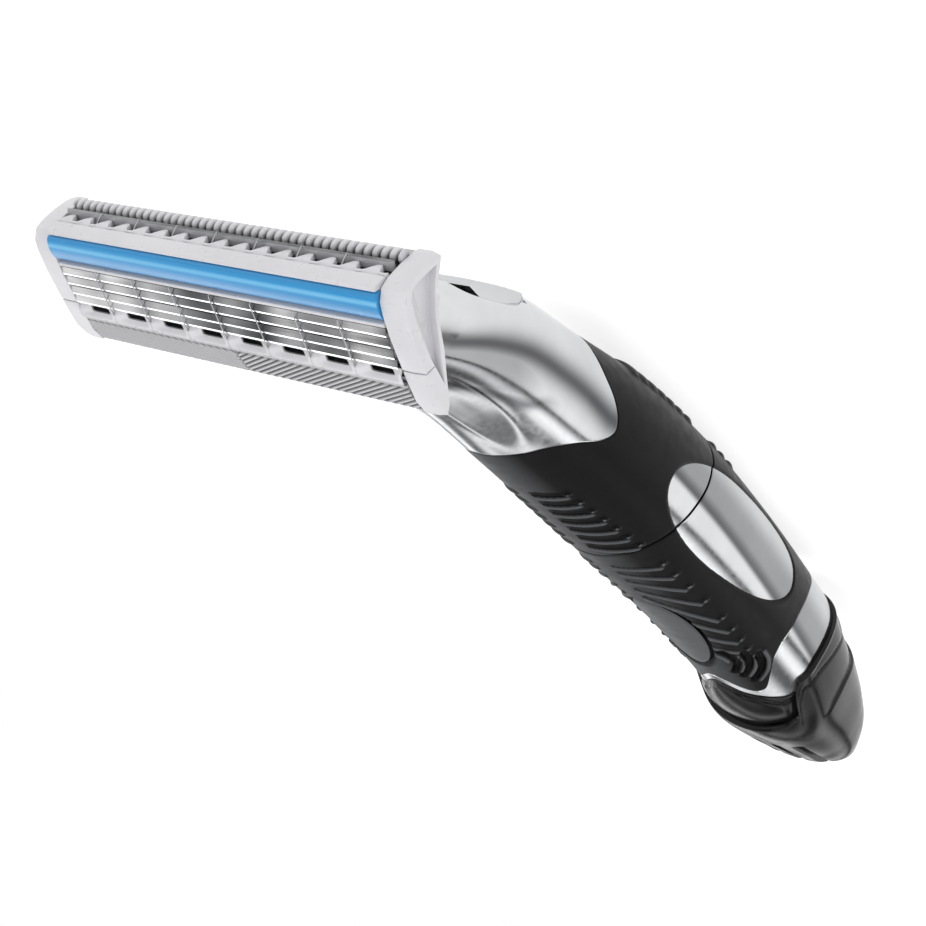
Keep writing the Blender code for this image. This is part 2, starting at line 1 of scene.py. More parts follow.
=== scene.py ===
"""Cartridge razor with a battery trimmer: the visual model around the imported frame.

Local sizes are in millimetres and become metres when a mesh is made. The handle's surface is given
by stations along Y, and each place on it by y and an angle: 0 is the finger side, 90 the +X side
and 180 the thumb side, on which the razor lies.
"""
import math
import bmesh
import bpy
import numpy as np
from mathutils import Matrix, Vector


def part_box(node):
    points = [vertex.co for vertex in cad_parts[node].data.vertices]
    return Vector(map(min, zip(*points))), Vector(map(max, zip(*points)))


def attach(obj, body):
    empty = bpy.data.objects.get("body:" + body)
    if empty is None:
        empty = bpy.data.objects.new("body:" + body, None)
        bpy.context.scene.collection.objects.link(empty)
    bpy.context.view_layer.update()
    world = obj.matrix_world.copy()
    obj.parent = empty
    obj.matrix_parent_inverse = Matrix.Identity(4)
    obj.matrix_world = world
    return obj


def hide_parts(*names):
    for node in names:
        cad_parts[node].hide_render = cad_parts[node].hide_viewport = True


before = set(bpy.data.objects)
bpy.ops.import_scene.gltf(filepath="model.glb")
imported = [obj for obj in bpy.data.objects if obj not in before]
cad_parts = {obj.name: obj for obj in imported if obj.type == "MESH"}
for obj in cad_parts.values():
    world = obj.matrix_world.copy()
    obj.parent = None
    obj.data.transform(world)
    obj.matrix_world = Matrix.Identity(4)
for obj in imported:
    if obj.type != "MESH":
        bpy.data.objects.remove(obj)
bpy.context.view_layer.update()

MM = 0.001
TAU = 2 * math.pi
COLUMNS = 320                 # round the handle

# Handle: y, centre height, half depth, half width.
HANDLE_STATIONS = np.array((
    (75.3, 22.8, 3.0, 8.8), (69.0, 19.45, 3.9, 8.3), (63.0, 16.3, 5.2, 7.4), (56.0, 13.7, 6.1, 6.9),
    (48.5, 11.95, 7.3, 6.7), (38.5, 10.95, 8.1, 7.1), (25.5, 9.75, 9.15, 8.0), (9.0, 9.15, 9.82, 8.6),
    (-9.8, 9.35, 9.95, 8.7), (-28.0, 10.43, 10.0, 8.8), (-44.0, 12.25, 10.5, 9.2)))[::-1]
NECK_END = 64.8
NECK_LEAN = -0.53
SEAM_Y = 11.9
SEAM_GAP = 0.3
SEAM_LEAN = 0.34
BORE_INSET = 1.9
BORE_END = 33.8
SPIGOT_INSET = 2.1
SPIGOT_WALL = 0.75
SPIGOT_END = 20.0
PLATE_INSET = 0.16            # depth of the plated core in the side windows
CORE_INSET = 0.9              # and under the rubber elsewhere

# Boundaries on the handle: angle in degrees, y.
LOBE = ((0, 41.2), (14, 40.8), (36, 39.7), (55, 37.9), (68, 35.6), (80, 32.7), (90, 31.6), (97, 31.9),
        (109, 33.2), (121, 34.9), (137, 36.3), (153, 36.8), (180, 37.0))
RUBBER_END = ((0, -21.6), (10, -22.9), (20, -25.4), (29, -27.1), (36, -27.0), (44, -24.9), (53, -22.3),
              (64, -20.7), (82, -20.5), (97, -21.0), (115, -22.7), (138, -25.9), (160, -27.2), (180, -27.6))
LIP = ((0, -23.4), (9, -24.6), (18, -26.7), (28, -28.4), (38, -30.0), (49, -31.3), (60, -30.6),
       (75, -29.5), (90, -29.7), (104, -30.6), (121, -32.2), (138, -33.3), (160, -34.0), (180, -34.2))
COMB_EDGE = ((0, -36.6), (20, -36.2), (40, -35.5), (48, -34.6), (52, -31.9), (58, -30.0), (70, -29.9),
             (85, -30.0), (104, -31.1), (121, -32.7), (138, -33.9), (160, -34.7), (180, -34.9))
OVAL_CENTRE = (1.1, 8.0)
OVAL_HALF = (18.0, 5.5)
OVAL_SLOPE = 0.09
OVAL_POWERS = (2.05, 2.8)     # roundness of the end towards the head and of the other end
LEAF_Y = -8.2
LEAF_HALF = (3.6, 10.2)
LEAF_RECESS = 1.7             # depth of the rubber's recess under the leaf
LEAF_RECESS_CORE = 1.3

# Cartridge frame: u up the shaving face, n out of it.
FACE_TILT = math.radians(24.5)
FACE_ORIGIN = (76.6, 26.79)
FRAME_HALF = 18.4
BLADE_HALF = FRAME_HALF - 0.1
CAP_INNER = 18.55
CAP_OUTER = 20.8
PIVOT_UN = (0.5, -4.2)
DOCK_ANGLE = math.radians(28.0)
WIRE_PITCH = 4.6
BLADE_EDGES = (4.29, 3.3, 2.26, 1.38)


# ---------------------------------------------------------------- curves and surfaces

def hermite(places, along, values):
    """Smooth curve through points, read at an array of places."""
    slopes = np.gradient(values, along)
    places = np.clip(places, along[0], along[-1])
    i = np.clip(np.searchsorted(along, places) - 1, 0, len(along) - 2)
    step = along[i + 1] - along[i]
    t = (places - along[i]) / step
    low = (2 * t**3 - 3 * t**2 + 1) * values[i] + (t**3 - 2 * t**2 + t) * step * slopes[i]
    return low + (3 * t**2 - 2 * t**3) * values[i + 1] + (t**3 - t**2) * step * slopes[i + 1]


def station(y, column):
    return hermite(y, HANDLE_STATIONS[:, 0], HANDLE_STATIONS[:, column])


def boundary(points, theta):
    """y of a boundary at each angle; the two sides of the handle mirror each other."""
    table = np.array(points, float)
    before = table[1:3][::-1] * (-1, 1)
    after = table[-3:-1][::-1] * (-1, 1) + (360, 0)
    table = np.concatenate([before, table, after])
    return hermite(fold(theta), table[:, 0], table[:, 1])


def handle_point(y, theta, inset):
    """Points of the handle's surface moved inwards by inset, flattened where it lies down."""
    y, theta, inset = np.broadcast_arrays(y, theta, inset)
    x = (station(y, 3) - inset) * np.sin(theta)
    z = station(y, 1) + (station(y, 2) - inset) * np.cos(theta)
    floor = np.maximum(inset, 0.0)
    z = 0.5 * (z + floor + np.sqrt((z - floor) ** 2 + 0.2**2))
    return np.stack([x, y, z], -1)


def smoothstep(value, low, high):
    t = np.clip((value - low) / (high - low), 0, 1)
    return t * t * (3 - 2 * t)


def fold(theta):
    """Angle from the finger side in degrees, the same on both sides of the handle."""
    return np.degrees(np.abs((theta + math.pi) % TAU - math.pi))


def unzip(rows):
    """The y, angle and inset grids of a list of (y, inset) rows."""
    y = np.stack([row[0] for row in rows])
    return y, np.broadcast_to(THETA, y.shape), np.stack([row[1] for row in rows])


THETA = np.arange(COLUMNS) / COLUMNS * TAU
FULL = np.ones(COLUMNS)


def seam(gap):
    return SEAM_Y + gap + SEAM_LEAN * station(SEAM_Y * FULL, 2) * np.cos(THETA)


def rows_between(first, last, count):
    share = np.linspace(0, 1, count)[:, None]
    return first * (1 - share) + last * share


def face_point(x, u, n):
    """World millimetres of a point given in the cartridge's frame."""
    y = FACE_ORIGIN[0] + u * np.cos(FACE_TILT) + n * np.sin(FACE_TILT)
    z = FACE_ORIGIN[1] - u * np.sin(FACE_TILT) + n * np.cos(FACE_TILT)
    return np.stack(np.broadcast_arrays(x, y, z), -1)


PIVOT = face_point(0.0, *PIVOT_UN)


def dock_point(x, p, q):
    """World millimetres of a point p behind the pivot along the neck and q above its axis."""
    y = PIVOT[1] - p * np.cos(DOCK_ANGLE) - q * np.sin(DOCK_ANGLE)
    z = PIVOT[2] - p * np.sin(DOCK_ANGLE) + q * np.cos(DOCK_ANGLE)
    return np.stack(np.broadcast_arrays(x, y, z), -1)


def level_point(x, y, z):
    return np.stack(np.broadcast_arrays(x, y, z), -1)


# ---------------------------------------------------------------- materials

class Shader:
    """A Principled material with helpers for procedural detail; scales are sizes in millimetres."""

    def __init__(self, name, roughness, metallic=0.0, **sockets):
        self.mat = bpy.data.materials.new(name)
        self.mat.use_nodes = True
        self.nodes = self.mat.node_tree.nodes
        self.links = self.mat.node_tree.links
        self.bsdf = self.nodes["Principled BSDF"]
        self.bsdf.inputs["Metallic"].default_value = metallic
        self.bsdf.inputs["Roughness"].default_value = roughness
        for key, value in sockets.items():
            self.bsdf.inputs[key.replace("_", " ")].default_value = value
        self.coords = self.nodes.new("ShaderNodeTexCoord").outputs["Object"]

    def noise(self, size, stretch=(1, 1, 1), detail=3.0):
        mapping = self.nodes.new("ShaderNodeMapping")
        mapping.inputs["Scale"].default_value = stretch
        self.links.new(self.coords, mapping.inputs["Vector"])
        noise = self.nodes.new("ShaderNodeTexNoise")
        noise.inputs["Scale"].default_value = 1 / (size * MM)
        noise.inputs["Detail"].default_value = detail
        self.links.new(mapping.outputs["Vector"], noise.inputs["Vector"])
        return noise.outputs["Fac"]

    def ramp(self, fac, stops):
        ramp = self.nodes.new("ShaderNodeValToRGB")
        elements = ramp.color_ramp.elements
        while len(elements) < len(stops):
            elements.new(0.5)
        for element, (place, colour) in zip(elements, stops):
            element.position = place
            element.color = (*(colour if isinstance(colour, tuple) else (colour,) * 3), 1.0)
        self.links.new(fac, ramp.inputs["Fac"])
        return ramp.outputs["Color"]

    def colour(self, output):
        self.links.new(output, self.bsdf.inputs["Base Color"])

    def roughen(self, fac, low, high):
        span = self.nodes.new("ShaderNodeMapRange")
        span.inputs["From Min"].default_value = 0.3
        span.inputs["From Max"].default_value = 0.7
        span.inputs["To Min"].default_value = low
        span.inputs["To Max"].default_value = high
        self.links.new(fac, span.inputs["Value"])
        self.links.new(span.outputs["Result"], self.bsdf.inputs["Roughness"])

    def bump(self, fac, height):
        node = self.nodes.new("ShaderNodeBump")
        node.inputs["Strength"].default_value = 1.0
        node.inputs["Distance"].default_value = height * MM
        self.links.new(fac, node.inputs["Height"])
        self.links.new(node.outputs["Normal"], self.bsdf.inputs["Normal"])

    def relief(self):
        """Painted light stored on the piece: near 0 for painted shade in its hollows, near 1 for painted
        highlight on its ridges; on the chrome, how dark its painted reflection bands are.
        """
        node = self.nodes.new("ShaderNodeAttribute")
        node.attribute_name = "relief"
        return node.outputs["Fac"]

    def mix(self, first, second, factor=1.0, blend="MULTIPLY"):
        node = self.nodes.new("ShaderNodeMix")
        node.data_type = "RGBA"
        node.blend_type = blend
        node.inputs["Factor"].default_value = factor
        self.links.new(first, node.inputs["A"])
        self.links.new(second, node.inputs["B"])
        return node.outputs["Result"]


COOL = (0.97, 0.985, 1.0)
LILAC = (0.975, 0.965, 1.0)
METAL_GRAIN = 0.12
METAL_HEIGHT = 0.0015


def tone(value, tint):
    return tuple(value * t for t in tint)


def plastic(name, value, tint, roughness, grain=0.25, **sockets):
    s = Shader(name, roughness, **sockets)
    wide = s.noise(6.0)
    s.colour(s.ramp(wide, ((0.3, tone(value * 0.95, tint)), (0.7, tone(value * 1.03, tint)))))
    s.roughen(s.noise(1.2, detail=5.0), roughness * 0.85, roughness * 1.2)
    s.bump(s.noise(grain), 0.001)
    return s.mat


def metal(name, value, tint, roughness, stretch=(1, 1, 1)):
    s = Shader(name, roughness, 1.0)
    s.colour(s.ramp(s.noise(5.0), ((0.3, tone(value * 0.94, tint)), (0.7, tone(value * 1.02, tint)))))
    s.roughen(s.noise(4 * METAL_GRAIN, stretch, 5.0), roughness * 0.8, roughness * 1.25)
    s.bump(s.noise(METAL_GRAIN, stretch), METAL_HEIGHT)
    return s.mat


def rubber_material():
    s = Shader("black_rubber", 0.36, Specular_IOR_Level=0.06)
    base = s.ramp(s.noise(2.5), ((0.3, (0.0035, 0.0034, 0.0036)), (0.7, (0.005, 0.0048, 0.005))))
    # painted shade: near black in the grooves; painted highlight and sheen: grey on the ridges, dots, thumb
    # ribs, leaf and finger side
    ridge = s.ramp(s.relief(), ((0.0, 0.0003), (0.42, (0.004, 0.004, 0.0042)),
                                (0.58, (0.005, 0.005, 0.0052)), (1.0, (0.13, 0.135, 0.14))))
    s.colour(s.mix(base, ridge, 0.75, "MIX"))
    s.roughen(s.noise(1.5, detail=6.0), 0.3, 0.42)
    s.bump(s.noise(0.09), 0.006)
    return s.mat


def ribbed_material(name, top):
    """Light material with painted shade in the grooves between its ribs."""
    s = Shader(name, 0.42)
    s.colour(s.ramp(s.relief(), [(place, tone(top * share, LILAC))
                                 for place, share in ((0.0, 0.2), (0.5, 0.75), (1.0, 1.0))]))
    s.roughen(s.noise(1.2, detail=5.0), 0.36, 0.48)
    s.bump(s.noise(0.15), 0.004)
    return s.mat


def blade_material():
    s = Shader("brushed_blade", 0.26, 1.0)
    bands = s.noise(7.0, (1.0, 0.25, 0.25), 1.5)
    streaks = s.noise(0.8, (0.08, 1.0, 1.0), 5.0)
    wide = s.ramp(bands, ((0.4, (0.13, 0.135, 0.14)), (0.5, (0.36, 0.365, 0.37)), (0.62, 0.85)))
    fine = s.ramp(streaks, ((0.3, 0.78), (0.7, 1.0)))
    s.colour(s.mix(wide, fine))
    s.roughen(s.noise(0.5, (0.1, 1.0, 1.0), 4.0), 0.2, 0.36)
    s.bump(s.noise(0.15, (0.05, 1.0, 1.0)), 0.001)
    return s.mat


def chrome_material():
    """Plated surface with painted reflection: dark bands painted along the neck and a dark stripe in the side
    windows and on the lip.
    """
    s = Shader("satin_chrome", 0.16, 1.0)
    plate = s.ramp(s.noise(5.0), ((0.3, tone(0.6, COOL)), (0.7, tone(0.66, COOL))))
    # painted reflection: the chrome is darker where the stored painted value is high
    painted_dark = s.ramp(s.relief(), ((0.0, 1.0), (1.0, (0.1, 0.1, 0.108))))
    s.colour(s.mix(plate, painted_dark))
    s.roughen(s.noise(0.5, detail=5.0), 0.13, 0.2)
    s.bump(s.noise(METAL_GRAIN), METAL_HEIGHT)
    return s.mat


def strip_material():
    s = Shader("blue_strip", 0.3, Coat_Weight=0.4, Coat_Roughness=0.2)
    # painted highlight: lighter blue where the stored painted value is high
    s.colour(s.ramp(s.relief(), ((0.0, (0.004, 0.2, 0.46)), (0.5, (0.008, 0.25, 0.54)),
                                 (1.0, (0.15, 0.46, 0.72)))))
    s.roughen(s.noise(2.0, (0.3, 1.0, 1.0)), 0.26, 0.34)
    s.bump(s.noise(0.3, (0.6, 1.0, 1.0)), 0.001)
    return s.mat


M_LIGHT = plastic("light_plastic", 0.6, LILAC, 0.3)
M_GUARD = ribbed_material("guard_rubber", 0.5)
M_ROPE = ribbed_material("ribbed_plastic", 0.6)
# painted shadow: near-black plastic for the recessed faces of the cartridge frame
M_PAINTED_SHADOW = plastic("shadow_plastic", 0.035, (0.9, 1.0, 1.0), 0.5)
M_DARK = plastic("dark_plastic", 0.03, COOL, 0.4)
M_GLOSS = plastic("gloss_black", 0.0025, COOL, 0.2, 0.4, Specular_IOR_Level=0.22)
M_JACKET = plastic("battery_jacket", 0.045, (0.8, 0.95, 1.0), 0.35)
M_CHROME = chrome_material()
M_BRIGHT = metal("bright_chrome", 0.6, COOL, 0.12)
M_WIRE = metal("wire_steel", 0.42, COOL, 0.3)
M_STEEL = metal("edge_steel", 0.86, COOL, 0.15, (0.1, 1, 1))
M_PLATE = metal("plate_steel", 0.5, LILAC, 0.45)
M_SPRING = metal("spring_steel", 0.55, COOL, 0.28)
M_BRASS = metal("contact_brass", 0.75, (1.0, 0.8, 0.42), 0.25)
M_RUBBER = rubber_material()
M_BLADE = blade_material()
M_STRIP = strip_material()


# ---------------------------------------------------------------- mesh helpers

def add_piece(name, points, faces, mat, body, replaces=(), slot=None, sharp=35.0, relief=None):
    """Make a piece from points in millimetres and let it ride on a body."""
    mesh = bpy.data.meshes.new(name)
    mesh.from_pydata((np.asarray(points, float).reshape(-1, 3) * MM).tolist(), [], faces)
    bm = bmesh.new()
    bm.from_mesh(mesh)
    bmesh.ops.recalc_face_normals(bm, faces=bm.faces)
    bm.to_mesh(mesh)
    bm.free()
    for entry in (mat if isinstance(mat, (list, tuple)) else (mat,)):
        mesh.materials.append(entry)
    # the per-point values stored here are painted shade, painted highlight and painted reflection, read by
    # the materials
    if relief is not None:
        layer = mesh.attributes.new("relief", "FLOAT", "POINT")
        layer.data.foreach_set("value", np.asarray(relief, np.float32).ravel())
    mesh.shade_smooth()
    if sharp is not None:
        mesh.set_sharp_from_angle(angle=math.radians(sharp))
    obj = bpy.data.objects.new(name, mesh)
    bpy.context.scene.collection.objects.link(obj)
    if body is not None:
        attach(obj, body)
    if replaces:
        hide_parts(*replaces)
    return obj


def grid_faces(rows, columns, wrap=True, closed=False, caps=False):
    """Quads of a grid of points; closed joins the last row to the first, caps fills the end rows."""
    r = np.arange(rows if closed else rows - 1)[:, None]
    c = np.arange(columns if wrap else columns - 1)[None, :]
    after = (c + 1) % columns
    below = (r + 1) % rows
    quads = np.stack(np.broadcast_arrays(r * columns + c, r * columns + after,
                                         below * columns + after, below * columns + c), -1)
    faces = quads.reshape(-1, 4).tolist()
    if caps:
        faces.append(list(range(columns))[::-1])
        faces.append(list(range((rows - 1) * columns, rows * columns)))
    return faces


def bar_faces(rows, columns):
    """Faces of a bar along its columns: the rows go round it and its two ends are filled."""
    faces = grid_faces(rows, columns, wrap=False, closed=True)
    faces.append([r * columns for r in range(rows)])
    faces.append([r * columns + columns - 1 for r in range(rows)][::-1])
    return faces


def prism_mesh(outline, x0, x1, place=face_point):
    count = len(outline)
    points = [place(x, a, b) for x in (x0, x1) for a, b in outline]
    return points, grid_faces(2, count, caps=True)


def add_prism(name, outline, x0, x1, mat, body, place=face_point, **more):
    return add_piece(name, *prism_mesh(outline, x0, x1, place), mat, body, **more)


def round_edges(obj, width, segments=3, angle=28.0):
    mod = obj.modifiers.new("edges", "BEVEL")
    mod.width = width * MM
    mod.segments = segments
    mod.limit_method = "ANGLE"
    mod.angle_limit = math.radians(angle)
    mod.use_clamp_overlap = True
    mod.harden_normals = False


def cut(obj, points, faces, name):
    """Take a shape out of a piece and keep only the result."""
    tool = add_piece(name, points, faces, M_LIGHT, None)
    mod = obj.modifiers.new(name, "BOOLEAN")
    mod.operation = "DIFFERENCE"
    mod.solver = "EXACT"
    mod.object = tool
    graph = bpy.context.evaluated_depsgraph_get()
    mesh = bpy.data.meshes.new_from_object(obj.evaluated_get(graph))
    obj.modifiers.clear()
    mesh.name = obj.name
    obj.data = mesh
    bpy.data.objects.remove(tool)


def join_bodies(parts):
    """Points and faces of several closed shapes put into one mesh."""
    points, faces = [], []
    for shape_points, shape_faces in parts:
        start = len(points)
        points += [tuple(p) for p in np.asarray(shape_points, float).reshape(-1, 3)]
        faces += [[start + i for i in face] for face in shape_faces]
    return points, faces


def tube_mesh(path, radius, sides=10):
    """Round wire along points in millimetres, with flat ends."""
    path = np.asarray(path, float)
    along = np.gradient(path, axis=0)
    along /= np.linalg.norm(along, axis=1)[:, None]
    side = np.cross(along, (0.123, 0.345, 0.931))
    side /= np.linalg.norm(side, axis=1)[:, None]
    up = np.cross(side, along)
    angle = np.arange(sides) / sides * TAU
    ring = side[:, None, :] * np.cos(angle)[None, :, None] + up[:, None, :] * np.sin(angle)[None, :, None]
    return (path[:, None, :] + ring * radius).reshape(-1, 3), grid_faces(len(path), sides, caps=True)


# ---------------------------------------------------------------- relief and painted shade on the rubber

GROOVE_DEPTH = 0.6
GROOVE_HALF = 0.44
RIDGE_HEIGHT = 0.2
ARC_RADIUS = 9.0              # turns an angle on the handle into a length round it
PATH_STEPS = 6                # short pieces between two points of a groove's path
PLAIN_SHADE = 0.5             # of rubber without relief
FINGER_PAINTED_SHEEN = 0.26           # painted sheen added towards the middle of the finger side


def groove_relief(y, theta, path, half=GROOVE_HALF, dot=True):
    """Outward shift along one groove: a slot, a ridge on the side towards -Y, and a dot at its end."""
    knots = np.arange(len(path), dtype=float)
    fine = np.linspace(0, len(path) - 1, PATH_STEPS * (len(path) - 1) + 1)
    places, angles = (hermite(fine, knots, column) for column in np.array(path, float).T)
    track = np.stack([places, np.radians(angles) * ARC_RADIUS], -1)
    arc = theta * ARC_RADIUS
    best = np.full(y.shape, 1e9)
    signed = np.zeros(y.shape)
    beyond = np.zeros(y.shape)
    for (y0, a0), (y1, a1) in zip(track[:-1], track[1:]):
        dy, da = y1 - y0, a1 - a0
        length = math.hypot(dy, da)
        reach = ((y - y0) * dy + (arc - a0) * da) / length**2
        t = np.clip(reach, 0, 1)
        off_y, off_a = y - y0 - t * dy, arc - a0 - t * da
        distance = np.hypot(off_y, off_a)
        side = (off_y * da - off_a * dy) / length * (1 if da >= 0 else -1)
        near = distance < best
        best = np.where(near, distance, best)
        signed = np.where(near, side, signed)
        beyond = np.where(near, np.abs(reach - t) * length, beyond)
    slot = 1 - smoothstep(best, half - 0.14, half + 0.12)
    below = -signed
    body = np.exp(-((below - half - 0.36) / 0.27) ** 4) * (1 - smoothstep(beyond, 0.0, 0.35))
    ends = np.hypot(y - track[-1, 0], arc - track[-1, 1])
    shift = -GROOVE_DEPTH * slot + RIDGE_HEIGHT * body * (1 - slot)
    if dot:
        shift = np.maximum(shift, 0.3 * np.exp(-(ends / 0.42) ** 2) - 0.02)
    return shift, slot, body


GROOVES_UPPER_LEFT = (31.6, 29.3, 27.1, 24.9, 22.8, 20.5, 18.2)
GROOVES_UPPER_RIGHT = (29.9, 27.6, 25.2, 22.8, 20.3, 17.8, 15.3)
GROOVES_LOWER = (
    ((12.8, 12.5), (11.6, 27), (9.9, 43)), ((10.9, 12.6), (9.2, 28), (6.7, 44)),
    ((8.6, 12.8), (6.6, 28), (3.0, 45)), ((6.0, 13.0), (3.2, 28), (-1.5, 46)),
    ((3.6, 13.6), (0.2, 26), (-3.8, 38), (-6.8, 46.5)), ((0.4, 15), (-4.0, 27), (-7.6, 38), (-10.2, 46.5)),
    ((-8.4, 27), (-11.2, 37), (-13.4, 46)), ((-12.4, 28), (-14.6, 37), (-16.2, 45)),
)
SWIRLS = (
    ((-14.2, 26), (-16.4, 31), (-18.6, 31), (-20.4, 25)),
    ((-16.6, 40), (-18.8, 40), (-20.6, 36), (-21.9, 29)),
    ((-18.8, 48), (-20.8, 47), (-22.6, 42), (-23.8, 34)),
)


def upper_grooves():
    """Paths of the upper rubber's grooves, which grow longer towards the seam."""
    paths = []
    for i, (left, right) in enumerate(zip(GROOVES_UPPER_LEFT, GROOVES_UPPER_RIGHT)):
        end = 33.5 + 8.2 * i / 6
        paths.append(((left, 10.5), ((left + right) / 2 + 0.15, (10.5 + end) / 2), (right + 0.25, end)))
    return paths


def finger_relief(y, theta, paths, **more):
    """All grooves of one list on both sides of the finger side, with the painted shade in their slots and the
    painted highlight on their ridges and dots.
    """
    folded = np.radians(fold(theta))
    shift = np.zeros(y.shape)
    shade = np.full(y.shape, PLAIN_SHADE)
    for path in paths:
        one, slot, body = groove_relief(y, folded, path, **more)
        shift = np.where(np.abs(one) > np.abs(shift), one, shift)
        # painted shade in the slots, painted highlight on the ridges and at the dots
        shade = np.where(slot > 0.02, np.minimum(shade, 0.5 - 0.5 * slot), shade)
        shade = np.where((body > 0.05) & (slot < 0.3), np.maximum(shade, 0.5 + 0.42 * body), shade)
        shade = np.where(one > RIDGE_HEIGHT + 0.01, 1.0, shade)
    return shift, shade


def thumb_relief(y, theta, places):
    """Short raised ribs across the thumb side."""
    across = (math.pi - np.radians(fold(theta))) * ARC_RADIUS
    shift = np.zeros(y.shape)
    for place in places:
        off = y - place - 0.02 * across**2
        shift = np.maximum(shift, np.exp(-(off / 0.6) ** 4) - 0.6 * np.exp(-((off + 1.1) / 0.35) ** 4))
    return shift * (1 - smoothstep(across, 4.2, 5.6))


def oval_distance(y, theta):
    """Signed distance, about in millimetres, outside the side window."""
    point = handle_point(y, theta, 0.0)
    dy = (point[..., 1] - OVAL_CENTRE[0]) / OVAL_HALF[0]
    dz = (point[..., 2] - OVAL_CENTRE[1] - OVAL_SLOPE * (point[..., 1] - OVAL_CENTRE[0])) / OVAL_HALF[1]
    power = np.where(dy > 0, *OVAL_POWERS)
    radius = (np.abs(dy) ** power + np.abs(dz) ** power) ** (1 / power)
    slope = np.hypot(dy / OVAL_HALF[0], dz / OVAL_HALF[1]) / np.maximum(radius, 0.05)
    return (radius - 1) / np.maximum(slope, 0.05)


def plate_inset(y, theta):
    """Inset of the plated core: near the surface in the side windows, with a shallow flute along them."""
    folded = fold(theta)
    window = 1 - smoothstep(oval_distance(y, theta), 0.25, 1.0)
    flute = 0.06 * np.exp(-((folded - 89) / 9.0) ** 2)
    return CORE_INSET + (PLATE_INSET + flute - CORE_INSET) * window


def leaf_distance(y, theta):
    """Signed distance, about in millimetres, outside the leaf-shaped button on the finger side."""
    point = handle_point(y, theta, 0.0)
    dx = point[..., 0] / LEAF_HALF[0]
    dy = (point[..., 1] - LEAF_Y) / LEAF_HALF[1]
    radius = np.hypot(dx, dy)
    slope = np.hypot(dx / LEAF_HALF[0], dy / LEAF_HALF[1]) / np.maximum(radius, 0.05)
    far = np.where(point[..., 2] < 12, 9.0, 0.0)
    return (radius - 1) / np.maximum(slope, 0.05) + far


# ---------------------------------------------------------------- handle

RIM_STEPS = ((0.0, 0.34), (0.0, 0.12), (0.05, 0.05), (0.13, 0.012), (0.25, 0.0))   # inwards, inset


def rubber_sleeve(name, first, last, rows, body, replaces, paths, ribs, swirls=()):
    """Closed rubber sleeve between two boundaries, with its grooves, ribs and side windows."""
    inward = np.sign(last - first)
    start = [(first + inward * along, inset) for along, inset in RIM_STEPS]
    finish = [(last - inward * along, inset) for along, inset in RIM_STEPS[::-1]]
    middle = rows_between(first + inward * 0.4, last - inward * 0.4, rows)
    y = np.concatenate([np.stack([s[0] for s in start]), middle, np.stack([s[0] for s in finish])])
    inset = np.zeros(y.shape)
    inset[:len(start)] = np.array([s[1] for s in start])[:, None]
    inset[-len(finish):] = np.array([s[1] for s in finish])[:, None]
    angle = np.broadcast_to(THETA, y.shape)
    shift, shade = finger_relief(y, angle, paths)
    if swirls:
        swirl, swirl_shade = finger_relief(y, angle, swirls, dot=False, half=0.5)
        shift = np.where(np.abs(swirl) > np.abs(shift), swirl, shift)
        shade = np.where(swirl_shade < 0.49, swirl_shade, np.maximum(shade, swirl_shade))
    # painted sheen: plain rubber coloured lighter towards the middle of the finger side
    ground_with_painted_sheen = PLAIN_SHADE + FINGER_PAINTED_SHEEN * (1 - smoothstep(fold(angle), 8.0, 45.0))
    shade = np.where(shade == PLAIN_SHADE, ground_with_painted_sheen, shade)
    thumb = thumb_relief(y, angle, ribs)
    window = oval_distance(y, angle)
    edge = 1 - smoothstep(window, 0.0, 0.22)
    open_window = 1 - smoothstep(window, -0.42, -0.02)
    keep = 1 - edge
    leaf = leaf_distance(y, angle)
    inset = inset + 0.07 * edge * (1 - open_window) + 0.5 * open_window - (shift + 0.4 * thumb) * keep
    inset = inset + LEAF_RECESS * (1 - smoothstep(leaf, 0.14, 0.34))
    # painted highlight on the thumb ribs and painted shade in the hollows beside them
    shade = np.where(np.abs(thumb) > 0.1, np.clip(0.5 + 0.4 * thumb, 0, 1), shade)
    inner_y = np.stack([last, (first + last) / 2, first])
    y = np.concatenate([y, inner_y])
    inset = np.concatenate([inset, np.full(inner_y.shape, 0.85)])
    shade = np.concatenate([shade, np.full(inner_y.shape, PLAIN_SHADE)])
    points = handle_point(y, np.broadcast_to(THETA, y.shape), inset)
    add_piece(name, points, grid_faces(len(y), COLUMNS, closed=True), M_RUBBER, body,
              replaces=replaces, slot="black_rubber", sharp=None, relief=shade)


# Long painted reflection bands of the neck, which the neck's flute also follows: y, angle.
UPPER_BAND = np.array(((33.1, 95.0), (36.7, 101.6), (42.8, 103.6), (48.8, 101.2), (54.2, 93.3),
                       (59.3, 82.0))).T
LOWER_BAND = np.array(((41.0, 80.0), (43.1, 74.7), (45.0, 66.6), (48.2, 60.5), (51.9, 53.3),
                       (54.6, 45.7))).T


def neck_painted_reflection(y, theta):
    """Painted reflection on the neck: two long dark bands and a painted middle tone between them."""
    folded = fold(theta)
    upper, lower = hermite(y, *UPPER_BAND), hermite(y, *LOWER_BAND)
    dark = 0.95 * np.exp(-((folded - upper) / 12.0) ** 2)
    second = 0.8 * np.exp(-((folded - lower) / 6.0) ** 2) * smoothstep(y, 40.0, 46.0)
    between = 0.5 * smoothstep(folded, lower, lower + 6) * (1 - smoothstep(folded, upper - 8, upper))
    return np.maximum(np.maximum(dark, second), between * smoothstep(y, 43.0, 50.0))


def window_painted_reflection(y, theta):
    """Painted reflection in the side windows and on the lip: one dark stripe, softer behind it."""
    folded = fold(theta)
    off = folded - (89.0 + 0.31 * (y - 0.9))
    behind = 1 - 0.32 * smoothstep(off, 0.0, 9.0) - 0.45 * smoothstep(off, 18.0, 40.0)
    return 0.95 * smoothstep(off, -5.0, 0.0) * behind * (1 - smoothstep(folded, 140.0, 165.0))


